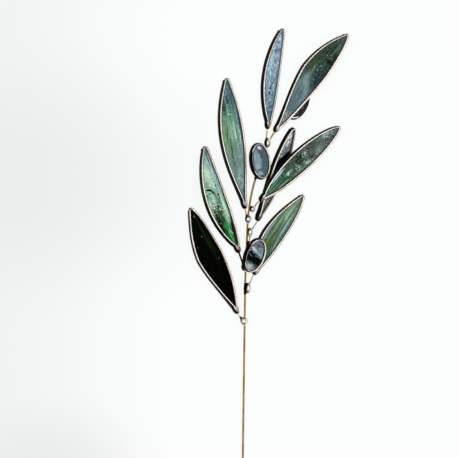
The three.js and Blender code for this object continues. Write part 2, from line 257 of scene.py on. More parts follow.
@dataclass(frozen=True)
class TinnedSolder:
    """Tin and lead solder, laid by hand over copper foil: bright, slightly rippled metal. The attribute
    "patina" says where it is dark: the dark film of finishing fluid on the sides and in corners, and painted
    shade where rims face left and on the underside and left of beads. Below zero it is plain solder, off the
    foil, with no copper cast."""

    name: str = "tinned_solder"
    bright: str = "f3ede4"
    dull: str = "cfc7bd"
    copper_cast: str = "e6cfc0"
    plain: str = "dedcd0"
    patina: str = "080605"
    patina_edge: str = "6b4529"
    roughness: float = 0.3
    grain_mm: float = 0.25
    ripple_mm: float = 1.4
    ripple_depth_mm: float = 0.05
    cloud_mm: float = 7.0
    film_wander: float = 0.22

    def build(self) -> bpy.types.Material:
        """Builds the material: bright solder that turns to patina where the attribute says so.

        Returns:
            The material.
        """
        material, tree, place = new_material(self.name)
        millimetres = add(tree, Kind.STRETCH, (place, (1 / MM,) * 3))
        mark = add(tree, Kind.MARK, out="Fac", attribute_name="patina")
        cloud = add(tree, Kind.NOISE, (millimetres, 1.0, 1 / self.cloud_mm, 3.0, FINER))
        ripple = add(tree, Kind.NOISE, (millimetres, 2.0, 1 / self.ripple_mm, 2.0, FINER))
        grain = add(tree, Kind.NOISE, (millimetres, 4.0, 1 / self.grain_mm, 2.0, FINER))
        wander = add(tree, Kind.TIMES, (add(tree, Kind.MINUS, (cloud, 0.5)), self.film_wander))
        reach = add(tree, Kind.PLUS, (mark, wander))
        film = add(tree, Kind.EASE, (reach, 0.55, 0.85))
        film_edge = add(tree, Kind.EASE, (reach, 0.1, 0.5))
        foiled = add(tree, Kind.EASE, (mark, -0.3, 0.0))
        cast = add(tree, Kind.TIMES, (add(tree, Kind.EASE, (cloud, 0.5, 0.72, 0.0, 0.6)), foiled))
        metal = add(tree, Kind.MIX, (cast, linear(self.bright), linear(self.copper_cast)))
        metal = add(tree, Kind.MIX, (add(tree, Kind.MINUS, (1.0, foiled)), metal, linear(self.plain)))
        dull = add(tree, Kind.EASE, (grain, 0.55, 0.8, 0.0, 0.2))
        metal = add(tree, Kind.MIX, (dull, metal, linear(self.dull)))
        colour = add(tree, Kind.MIX, (add(tree, Kind.TIMES, (film_edge, 0.85)), metal, linear(self.patina_edge)))
        colour = add(tree, Kind.MIX, (film, colour, linear(self.patina)))
        worn = add(tree, Kind.EASE, (cloud, 0.3, 0.7, self.roughness - 0.06, self.roughness + 0.08))
        roughness = add(tree, Kind.PLUS, (worn, add(tree, Kind.TIMES, (film, 0.14))))
        height = add(tree, Kind.PLUS, (ripple, add(tree, Kind.TIMES, (grain, 0.15))))
        bump = add(tree, Kind.BUMP, {"Height": height, "Strength": 0.15, "Distance": self.ripple_depth_mm * MM})
        shader = add(tree, Kind.PRINCIPLED, {"Base Color": colour, "Roughness": roughness, "Normal": bump,
                     "Metallic": add(tree, Kind.MINUS, (1.0, film)), "Specular IOR Level": 0.03})
        add(tree, Kind.FINISH, (shader,))
        return material


@dataclass(frozen=True)
class Wisp:
    """A cloud of another colour in a sheet of glass. Some panes use clouds as painted sheen, highlights,
    reflections and shade, as each pane's comment says.

    Attributes:
        colour: sRGB hex.
        at: Its middle, across and along the pane, in mm from the pane's origin.
        size: Its half widths, across and along, in mm.
        turn: How far it is turned anticlockwise, in degrees.
        strength: How much of the glass's colour it replaces at its middle.
        ragged: How strongly its edge is broken up.
        grain: Width in mm of what breaks it up.
        stretch: How many times longer than wide those pieces are, along the pane.
        softness: Width of its soft edge, as a share of its size.
        flecks: Share of it that is broken into flecks, or 0 for an unbroken cloud.
        curl: How strongly its flecks are curled.
        over: Whether it lies over the fine streaks.
    """

    colour: str
    at: tuple[float, float]
    size: tuple[float, float]
    turn: float = 0.0
    strength: float = 0.9
    ragged: float = 0.7
    grain: float = 2.5
    stretch: float = 3.0
    softness: float = 0.5
    flecks: float = 0.0
    curl: float = 0.0
    over: bool = False

    RAGGED_REACH = 2.6
    OUTER_SOFTNESS = 0.4
    FLECK_SWING = 0.36
    FLECK_EDGE = (-0.03, 0.05)

    def lay(self, tree: Tree, local: Socket, colour: Socket, seed: float) -> Socket:
        """Lays the cloud over the glass.

        Args:
            tree: The shader tree.
            local: Coordinates on the pane, in mm.
            colour: The colour so far.
            seed: Picks its ragged edge.

        Returns:
            The new colour.
        """
        turn = (0.0, 0.0, math.radians(self.turn))
        reach = add(tree, Kind.MAPPING, (local, (*self.at, 0.0), turn, (*self.size, 100.0)))
        distance = add(tree, Kind.VECTOR, (reach,), "Value", operation="LENGTH")
        stretched = add(tree, Kind.STRETCH, (local, (1.0, 1 / self.stretch, 1.0)))
        edge = add(tree, Kind.NOISE, (stretched, seed, 1 / self.grain, 3.0, FINER))
        edge = add(tree, Kind.TIMES, (add(tree, Kind.MINUS, (edge, 0.5)), self.RAGGED_REACH * self.ragged))
        distance = add(tree, Kind.PLUS, (distance, edge))
        mask = add(tree, Kind.EASE, (distance, 1.0 - self.softness, 1.0 + self.softness * self.OUTER_SOFTNESS,
                                     self.strength, 0.0))
        if self.flecks:
            broken = add(tree, Kind.NOISE, {0: stretched, 1: seed + 0.6, 2: 1 / self.grain, 3: 2.0, 4: FINER,
                         "Distortion": self.curl})
            level = 0.5 + (0.5 - self.flecks) * self.FLECK_SWING
            low, high = (level + step for step in self.FLECK_EDGE)
            mask = add(tree, Kind.TIMES, (mask, add(tree, Kind.EASE, (broken, low, high))))
        return add(tree, Kind.MIX, (mask, colour, linear(self.colour)))


@dataclass(frozen=True)
class Over(Wisp):
    """A cloud that lies over the fine streaks and the mottling, not under them."""

    over: bool = True


@dataclass(frozen=True)
class StreakyGlass:
    """Hand-rolled streaky art glass: nearly opaque coloured glass, stirred as it was poured, so that its
    colours lie in wisps along the sheet. Its face is fire-polished, glossy and slightly wavy.

    Attributes:
        name: The material's name.
        along: Colour stops from the pane's base (0) to its tip (1).
        light, dark: Colours of the fine streaks.
        light_share, dark_share: How strongly they show.
        streak: Width of the fine streaks in mm.
        streak_length: How many times longer than wide they are.
        edge: Colour of the thin dark line where the glass meets the solder: partly the foil's dark edge and
            partly painted shade of the lip.
        edge_shade_width: Width of that line in mm, at the sides that face right and left. The wider line on the
            right is painted shade.
        wisps: Larger clouds of colour, each in its place. Some are painted sheen, highlights, reflections and
            shade.
        mottle: Strength of the small cloudy mottling.
        speck: Colour of the small specks.
        specks: How strongly they show.
        clear: Share of light that passes through.
        gloss: Strength of the reflection on its face.
        roughness: Of the polished face.
        seed: Picks another pattern.
    """

    name: str
    along: tuple[tuple[float, str], ...]
    light: str
    dark: str
    light_share: float
    dark_share: float
    edge: str
    mottle: float
    seed: float
    streak: float = 0.9
    streak_length: float = 14.0
    edge_shade_width: tuple[float, float] = (0.9, 0.6)
    wisps: tuple[Wisp, ...] = ()
    speck: str = "e8efe9"
    specks: float = 0.3
    clear: float = 0.08
    gloss: float = 0.5
    roughness: float = 0.07

    BEND_MM = 14.0
    BEND_REACH = (5.0, 7.0, 0.0)
    WAVE_MM = 1.6
    WAVE_DEPTH_MM = 0.1
    HAZE_MM = 4.0
    MOTTLE_MM = 1.5
    SPECK_SPACING_MM = 5.5

    def build(self, placing: Matrix, length: float) -> bpy.types.Material:
        """Builds the material on the pane's own axes.

        Args:
            placing: The pane's place and turn in the frame.
            length: The pane's length in mm, over which the colour stops run.

        Returns:
            The material.
        """
        material, tree, place = new_material(self.name)
        local = add(tree, Kind.MAPPING, (place, placing.to_translation(), placing.to_euler("XYZ"), (MM,) * 3))
        warp = add(tree, Kind.NOISE, (local, self.seed, 1 / self.BEND_MM, 2.0), "Color")
        bend = add(tree, Kind.VECTOR, (warp, (0.5, 0.5, 0.5)), operation="SUBTRACT")
        flow = add(tree, Kind.VECTOR, (local, add(tree, Kind.STRETCH, (bend, self.BEND_REACH))), operation="ADD")
        share = add(tree, Kind.SHARE, (add(tree, Kind.SPLIT, (flow,), "Y"), length))
        colour = add(tree, Kind.RAMP, (share,))
        stops = colour.node.color_ramp.elements
        while len(stops) < len(self.along):
            stops.new(1.0)
        for stop, (position, tint) in zip(stops, self.along):
            stop.position = position
            stop.color = linear(tint)
        colour = self._lay_wisps(tree, local, colour, over=False)
        colour = self._lay_streaks(tree, flow, colour)
        colour = self._lay_mottle(tree, local, colour)
        colour = self._lay_wisps(tree, local, colour, over=True)
        colour = self._lay_edge_shade(tree, colour)
        waves = add(tree, Kind.NOISE, (local, self.seed + 40, 1 / self.WAVE_MM, 2.0, FINER))
        bump = add(tree, Kind.BUMP, {"Height": waves, "Strength": 0.12, "Distance": self.WAVE_DEPTH_MM * MM})
        haze = add(tree, Kind.NOISE, (local, self.seed + 50, 1 / self.HAZE_MM, 2.0, FINER))
        roughness = add(tree, Kind.EASE, (haze, 0.3, 0.7, self.roughness * 0.7, self.roughness * 1.6))
        shader = add(tree, Kind.PRINCIPLED, {"Base Color": colour, "Metallic": 0.0, "Roughness": roughness,
                     "IOR": 1.52, "Transmission Weight": self.clear, "Specular IOR Level": self.gloss,
                     "Normal": bump})
        add(tree, Kind.FINISH, (shader,))
        return material

    def _lay_wisps(self, tree: Tree, local: Socket, colour: Socket, over: bool) -> Socket:
        """Lays the clouds that lie under the fine streaks, or those over them.

        Args:
            tree: The shader tree.
            local: Coordinates on the pane, in mm.
            colour: The colour so far.
            over: Picks those over the streaks.

        Returns:
            The new colour.
        """
        for number, wisp in enumerate(self.wisps):
            if wisp.over is over:
                colour = wisp.lay(tree, local, colour, self.seed + 1.7 * number)
        return colour

    def _lay_streaks(self, tree: Tree, flow: Socket, colour: Socket) -> Socket:
        """Lays fine light and dark streaks along the pane.

        Args:
            tree: The shader tree.
            flow: Coordinates that bend as the streaks do, in mm.
            colour: The colour so far.

        Returns:
            The new colour.
        """
        drawn = add(tree, Kind.STRETCH, (flow, (1.0, 1 / self.streak_length, 1.0)))
        for number, (tint, strength) in enumerate(((self.light, self.light_share), (self.dark, self.dark_share))):
            broad = add(tree, Kind.NOISE, (drawn, self.seed + 11 + number, 1 / (self.streak * 2.4), 3.0, FINER))
            thin = add(tree, Kind.NOISE, (drawn, self.seed + 21 + number, 1 / self.streak, 3.0, FINER))
            both = add(tree, Kind.PLUS, (add(tree, Kind.TIMES, (broad, 0.6)), add(tree, Kind.TIMES, (thin, 0.4))))
            shown = add(tree, Kind.EASE, (both, 0.5, 0.66, 0.0, strength))
            colour = add(tree, Kind.MIX, (shown, colour, linear(tint)))
        return colour

    def _lay_mottle(self, tree: Tree, local: Socket, colour: Socket) -> Socket:
        """Lays small clouds and specks over the glass.

        Args:
            tree: The shader tree.
            local: Coordinates on the pane, in mm.
            colour: The colour so far.

        Returns:
            The new colour.
        """
        cloud = add(tree, Kind.NOISE, (local, self.seed + 31, 1 / self.MOTTLE_MM, 4.0, FINER))
        lighter = add(tree, Kind.EASE, (cloud, 0.5, 0.68, 0.0, self.mottle))
        darker = add(tree, Kind.EASE, (cloud, 0.32, 0.5, self.mottle, 0.0))
        colour = add(tree, Kind.MIX, (lighter, colour, linear(self.light)))
        colour = add(tree, Kind.MIX, (darker, colour, linear(self.dark)))
        cells = add(tree, Kind.CELLS, (local, self.seed, 1 / self.SPECK_SPACING_MM), "Distance")
        dot = add(tree, Kind.EASE, (cells, 0.035, 0.075, self.specks, 0.0))
        return add(tree, Kind.MIX, (dot, colour, linear(self.speck)))

    def _lay_edge_shade(self, tree: Tree, colour: Socket) -> Socket:
        """Darkens a thin line of glass beside the solder: partly the foil's dark edge, and partly painted shade of
        the lip, wider on the right.

        Args:
            tree: The shader tree.
            colour: The colour so far.

        Returns:
            The new colour.
        """
        inset = add(tree, Kind.MARK, out="Fac", attribute_name="inset")
        side = add(tree, Kind.MARK, out="Fac", attribute_name="side")
        right, left = self.edge_shade_width
        width = add(tree, Kind.EASE, (side, -0.6, 0.6, left, right))
        reach = add(tree, Kind.SHARE, (add(tree, Kind.MINUS, (inset, LIP_EDGE)), width))
        shown = add(tree, Kind.EASE, (reach, 0.35, 1.0, 0.92, 0.0))
        return add(tree, Kind.MIX, (shown, colour, linear(self.edge)))


def new_geometry_tree(name: str, *numbers: str) -> tuple[Tree, dict[str, Socket]]:
    """Makes a geometry tree with a mesh input, named numbers and a material.

    Args:
        name: The tree's name.
        *numbers: Names of its number inputs.

    Returns:
        The tree and what it is given, by name.
    """
    tree = bpy.data.node_groups.new(name, "GeometryNodeTree")
    tree.is_modifier = True
    tree.interface.new_socket("Geometry", in_out="INPUT", socket_type="NodeSocketGeometry")
    for label in numbers:
        tree.interface.new_socket(label, in_out="INPUT", socket_type="NodeSocketFloat")
    tree.interface.new_socket("Material", in_out="INPUT", socket_type="NodeSocketMaterial")
    tree.interface.new_socket("Geometry", in_out="OUTPUT", socket_type="NodeSocketGeometry")
    given = add(tree, Kind.GIVEN).node
    return tree, {socket.name: socket for socket in given.outputs if socket.name}


def close_geometry_tree(tree: Tree, given: dict[str, Socket], mesh: Socket) -> None:
    """Ends a geometry tree: smooth shading, real instances and the material.

    Args:
        tree: The tree.
        given: What it is given.
        mesh: The mesh that it made.
    """
    real = add(tree, Kind.REAL, {"Geometry": add(tree, Kind.SMOOTH, {"Geometry": mesh})})
    add(tree, Kind.RESULT, (add(tree, Kind.DRESS, {"Geometry": real, "Material": given["Material"]}),))


def bar_tree() -> Tree:
    """A round bar along the input's edges, with both ends closed.

    Returns:
        The tree.
    """
    tree, given = new_geometry_tree("bar along a path", "Radius", "Sides")
    path = add(tree, Kind.PATH, {"Mesh": given["Geometry"]})
    ring = add(tree, Kind.RING, {"Resolution": given["Sides"], "Radius": given["Radius"]})
    bar = add(tree, Kind.SWEEP, {"Curve": path, "Profile Curve": ring, "Fill Caps": True})
    close_geometry_tree(tree, given, bar)
    return tree


def relief_tree(name: str) -> Tree:
    """Moves a surface in and out by soft noise, except where the attribute "hold" is 1.

    Args:
        name: The tree's name.

    Returns:
        The tree.
    """
    tree, given = new_geometry_tree(name, "Swell", "Swell Length", "Ripple", "Ripple Length", "Seed")
    place = add(tree, Kind.POSITION)

    def wave(height: str, length: str, shift: float) -> Socket:
        """Noise between minus and plus a height.

        Args:
            height: The input that gives the height.
            length: The input that gives the length of the waves.
            shift: Added to the seed.

        Returns:
            How far the surface moves.
        """
        scale = add(tree, Kind.SHARE, (1.0, given[length]))
        soft = add(tree, Kind.NOISE, (place, add(tree, Kind.PLUS, (given["Seed"], shift)), scale, 1.0))
        spread = add(tree, Kind.TIMES, (add(tree, Kind.MINUS, (soft, 0.5)), NOISE_SPREAD))
        return add(tree, Kind.TIMES, (spread, given[height]))

    waves = add(tree, Kind.PLUS, (wave("Swell", "Swell Length", 0.0), wave("Ripple", "Ripple Length", 9.0)))
    free = add(tree, Kind.MINUS, (1.0, add(tree, Kind.NAMED_MARK, {"Name": "hold"})))
    amount = add(tree, Kind.TIMES, (waves, free))
    move = add(tree, Kind.VECTOR, {0: add(tree, Kind.NORMAL), "Scale": amount}, operation="SCALE")
    close_geometry_tree(tree, given, add(tree, Kind.MOVE, {"Geometry": given["Geometry"], "Offset": move}))
    return tree


def finish_mesh(piece: Piece, tree: Tree, inputs: dict) -> Piece:
    """Runs a geometry tree on a piece and keeps the result as a plain mesh.

    Args:
        piece: The object whose mesh goes in.
        tree: The geometry tree.
        inputs: Names of the tree's inputs and their values.

    Returns:
        The same object, with its new mesh and no modifier.
    """
    modifier = piece.modifiers.new(tree.name, "NODES")
    modifier.node_group = tree
    sockets = {s.name: s.identifier for s in tree.interface.items_tree if s.in_out == "INPUT"}
    for label, value in inputs.items():
        modifier[sockets[label]] = value
    return keep_evaluated(piece)


def keep_evaluated(piece: Piece) -> Piece:
    """Turns what a piece's modifiers make into its own plain mesh.

    Args:
        piece: An object with modifiers.

    Returns:
        The same object, with its new mesh and no modifier.
    """
    depsgraph = bpy.context.evaluated_depsgraph_get()
    evaluated = piece.evaluated_get(depsgraph)
    mesh = bpy.data.meshes.new_from_object(evaluated, preserve_all_data_layers=True, depsgraph=depsgraph)
    piece.modifiers.clear()
    piece.data = mesh
    mesh.name = piece.name
    return piece


def new_piece(name: str, mesh: Mesh) -> Piece:
    """Makes a mesh an object of the scene, at the origin.

    Args:
        name: The object's name.
        mesh: Its mesh.

    Returns:
        The object.
    """
    piece = bpy.data.objects.new(name, mesh)
    bpy.context.scene.collection.objects.link(piece)
    return piece


def mesh_from_rows(name: str, rows: list[list[Vector]], marks: dict[str, list[list[float]]], closed: bool,
                   caps: bool = False) -> Mesh:
    """Joins rows of points into a surface.

    Args:
        name: The mesh's name.
        rows: Rows of equal length. Each row runs all the way round.
        marks: Attribute names and their values, laid out as the rows are.
        closed: The last row joins the first.
        caps: The first and last rows are filled.

    Returns:
        The mesh, with its faces pointing out.
    """
    around = len(rows[0])
    faces = []
    for r in range(len(rows) if closed else len(rows) - 1):
        below, above = r * around, (r + 1) % len(rows) * around
        for i in range(around):
            j = (i + 1) % around
            faces.append((below + i, below + j, above + j, above + i))
    if caps:
        faces.append(tuple(range(around))[::-1])
        faces.append(tuple(range((len(rows) - 1) * around, len(rows) * around)))
    mesh = bpy.data.meshes.new(name)
    mesh.from_pydata([point for row in rows for point in row], [], faces)
    for label, values in marks.items():
        layer = mesh.attributes.new(label, "FLOAT", "POINT")
        layer.data.foreach_set("value", [value for row in values for value in row])
    face_outwards(mesh)
    return mesh


def face_outwards(mesh: Mesh) -> None:
    """Turns all faces of a closed mesh outwards.

    Args:
        mesh: The mesh, which is changed.
    """
    work = bmesh.new()
    work.from_mesh(mesh)
    bmesh.ops.recalc_face_normals(work, faces=work.faces)
    work.to_mesh(mesh)
    work.free()
    mesh.validate()


def catmull_rom(points: Sequence[Vector], steps: int) -> list[Vector]:
    """A smooth centripetal curve through the points.

    Args:
        points: The points that it passes.
        steps: Steps between two neighbours.

    Returns:
        The curve's points, from the first point to the last.
    """
    before, after = points[0] * 2 - points[1], points[-1] * 2 - points[-2]
    chain = [before, *points, after]
    curve = []
    for p0, p1, p2, p3 in zip(chain, chain[1:], chain[2:], chain[3:]):
        d0, d1, d2 = (math.sqrt((b - a).length) for a, b in ((p0, p1), (p1, p2), (p2, p3)))
        out = ((p1 - p0) / d0 - (p2 - p0) / (d0 + d1) + (p2 - p1) / d1) * d1
        into = ((p2 - p1) / d1 - (p3 - p1) / (d1 + d2) + (p3 - p2) / d2) * d1
        for i in range(steps):
            t = i / steps
            curve.append(p1 + out * t + (-3 * p1 + 3 * p2 - 2 * out - into) * t**2
                         + (2 * p1 - 2 * p2 + out + into) * t**3)
    curve.append(points[-1])
    return curve


def hump(t: float, peak: float, fullness: float) -> float:
    """A curve over 0 to 1 that is 0 at both ends and 1 at its peak.

    Args:
        t: Where on the curve.
        peak: Where it is highest.
        fullness: Above 2 it is slender, below 2 it is full.

    Returns:
        Its height there.
    """
    if t <= 0 or t >= 1:
        return 0.0
    return (t / peak) ** (fullness * peak) * ((1 - t) / (1 - peak)) ** (fullness * (1 - peak))


def soft_step(t: float) -> float:
    """Eases from 0 to 1."""
    t = min(1.0, max(0.0, t))
    return t * t * (3 - 2 * t)


@dataclass(frozen=True)
class SectionPoint:
    """A corner of the rim's section.

    Attributes:
        offset: Outwards from the glass edge, in mm.
        height: Above the middle of the glass, in mm.
        patina: How much dark it carries where the rim faces left: film, and painted shade where it is darker
            than on the right.
        right_facing: How much film it carries where the rim faces right.
        hold: Whether it is held still, inside the glass.
    """

    offset: float
    height: float
    patina: float
    right_facing: float
    hold: float = 0.0


# The rim's section from the groove round the front lip to the middle of the side, and from there round the
# fuller lip at the back to the groove.
# Where a point's patina is above its wiped value, the difference is painted shade on rims that face left.
FRONT_LIP = tuple(SectionPoint(*row) for row in (
    (-0.50, 1.30, 0.95, 0.95, 1.0),
    (-0.58, 1.56, 0.95, 0.95, 0.6),
    (-0.50, 1.88, 0.85, 0.75),
    (-0.36, 2.06, 0.4, 0.45),
    (-0.17, 2.17, 0.05, 0.2),
    (0.08, 2.20, 0.05, 0.05),
    (0.28, 2.13, 0.35, 0.05),
    (0.44, 2.00, 0.85, 0.1),
    (0.62, 1.72, 1.0, 0.3),
    (0.84, 1.25, 1.0, 0.7),
    (0.94, 0.50, 1.0, 0.9),
))
BACK_LIP = tuple(SectionPoint(*row) for row in (
    (1.00, -0.40, 1.0, 1.0),
    (1.10, -1.15, 1.0, 1.0),
    (1.06, -1.80, 1.0, 0.9),
    (0.68, -2.22, 0.9, 0.7),
    (0.15, -2.34, 0.4, 0.2),
    (-0.28, -2.24, 0.0, 0.0),
    (-0.55, -2.00, 0.4, 0.4),
    (-0.66, -1.54, 0.9, 0.9, 0.6),
    (-0.50, -1.30, 0.95, 0.95, 1.0),
))
LIP_HEIGHT = 2.2
LIP_EDGE = 0.58
LIP_LEVELLING = 0.75
SIDE_DRAWN_IN = 0.72
GROOVE_DEPTH = -0.15
CREST_OFFSET = -0.3
# Where the side is drawn in: below this height above the glass's middle, fully so this much lower, in mm.
DRAWN_IN_BELOW = 1.9
DRAWN_IN_OVER = 1.2
# Where the lip is levelled: above this height, fully so this much higher.
LEVEL_ABOVE = 1.2
LEVEL_OVER = 0.8


def rim_section(steps: int = 2) -> list[SectionPoint]:
    """The rim's whole section, as a smooth skin round the outside and a straight groove inside.

    Args:
        steps: Points for each step of the lip's outline.

    Returns:
        The section's corners, once round.
    """
    skin = FRONT_LIP + BACK_LIP
    path = catmull_rom([Vector((p.offset, p.height, 0)) for p in skin], steps)
    section = []
    for number, point in enumerate(path):
        first = min(number // steps, len(skin) - 2)
        share = number / steps - first
        low, high = skin[first], skin[first + 1]
        patina, right_facing, hold = (getattr(low, mark) * (1 - share) + getattr(high, mark) * share
                               for mark in ("patina", "right_facing", "hold"))
        section.append(SectionPoint(point.x, point.y, patina, right_facing, hold))
    groove = FRONT_LIP[0].height
    section.append(SectionPoint(GROOVE_DEPTH, -groove, 1.0, 1.0, 1.0))
    section.append(SectionPoint(GROOVE_DEPTH, groove, 1.0, 1.0, 1.0))
    return section


@dataclass
class Layout:
    """Where the branch's own layout lies in the frame.

    Attributes:
        offset: From the layout to the frame, in mm.
    """

    offset: Vector

    @classmethod
    def from_frame(cls) -> "Layout":
        """Finds the offset from the middle of a pane whose place in the layout is known.

        Returns:
            The layout.
        """
        low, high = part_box(REFERENCE_NODE)
        middle = (low + high) / 2 / MM
        return cls(Vector((middle.x - REFERENCE_PLACE[0], middle.y - REFERENCE_PLACE[1], 0.0)))

    def place(self, point: Sequence[float]) -> Vector:
        """A point of the layout, in mm, as a place in the frame, in metres."""
        return (Vector(point) + self.offset) * MM


@dataclass
class Workshop:
    """What all pieces share: the layout, the finishes and the geometry trees."""

    layout: Layout
    brass: bpy.types.Material
    solder: bpy.types.Material
    bars: Tree
    relief: Tree
    made: int = 0

    def hand_over(self, piece: Piece, slot: str, *nodes: str) -> Piece:
        """Lets a piece ride on the branch and stand for its nodes.

        Args:
            piece: The finished piece.
            slot: The record's material slot; not used.
            *nodes: The nodes that it stands for.

        Returns:
            The piece.
        """
        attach(piece, BODY)
        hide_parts(*nodes)
        self.made += 1
        log.info("%s: %d faces", piece.name, len(piece.data.polygons))
        return piece

    def bar(self, node: str, path: Sequence[Vector], diameter: float, sides: int,
            patina: Callable[[float], float] = lambda up: WIRE_PAINTED_HIGHLIGHT) -> Piece:
        """Makes a brass bar along a path.

        Args:
            node: The node that it stands for.
            path: Points of its axis, in the frame.
            diameter: In mm.
            sides: Faces round it.
            patina: How dark it is, from -1 for lightened by painted highlight to 1, at a height up the layout in
                mm.

        Returns:
            The piece.
        """
        mesh = bpy.data.meshes.new(node)
        mesh.from_pydata(path, [(i, i + 1) for i in range(len(path) - 1)], [])
        piece = new_piece(f"brass_{node}", mesh)
        finish_mesh(piece, self.bars, {"Radius": diameter / 2 * MM, "Sides": float(sides), "Material": self.brass})
        film = piece.data.attributes.new("patina", "FLOAT", "POINT")
        film.data.foreach_set("value", [patina(v.co.y / MM - self.layout.offset.y) for v in piece.data.vertices])
        return self.hand_over(piece, "brass", node)

    def skin(self, piece: Piece, swell: float, ripple: float, seed: float) -> None:
        """Gives a solder piece the uneven surface of metal that flowed and set.

        Args:
            piece: The smooth piece.
            swell: Height of the long waves, in mm.
            ripple: Height of the short waves, in mm.
            seed: Picks another pattern.
        """
        finish_mesh(piece, self.relief, {**SOLDER_WAVES, "Swell": swell * MM, "Ripple": ripple * MM, "Seed": seed,
                    "Material": self.solder})
        rest_on_floor(piece)


def rest_on_floor(piece: Piece) -> None:
    """Flattens what reaches below the floor, as the worn underside of a rim is."""
    for vertex in piece.data.vertices:
        vertex.co.z = max(vertex.co.z, 0.0)


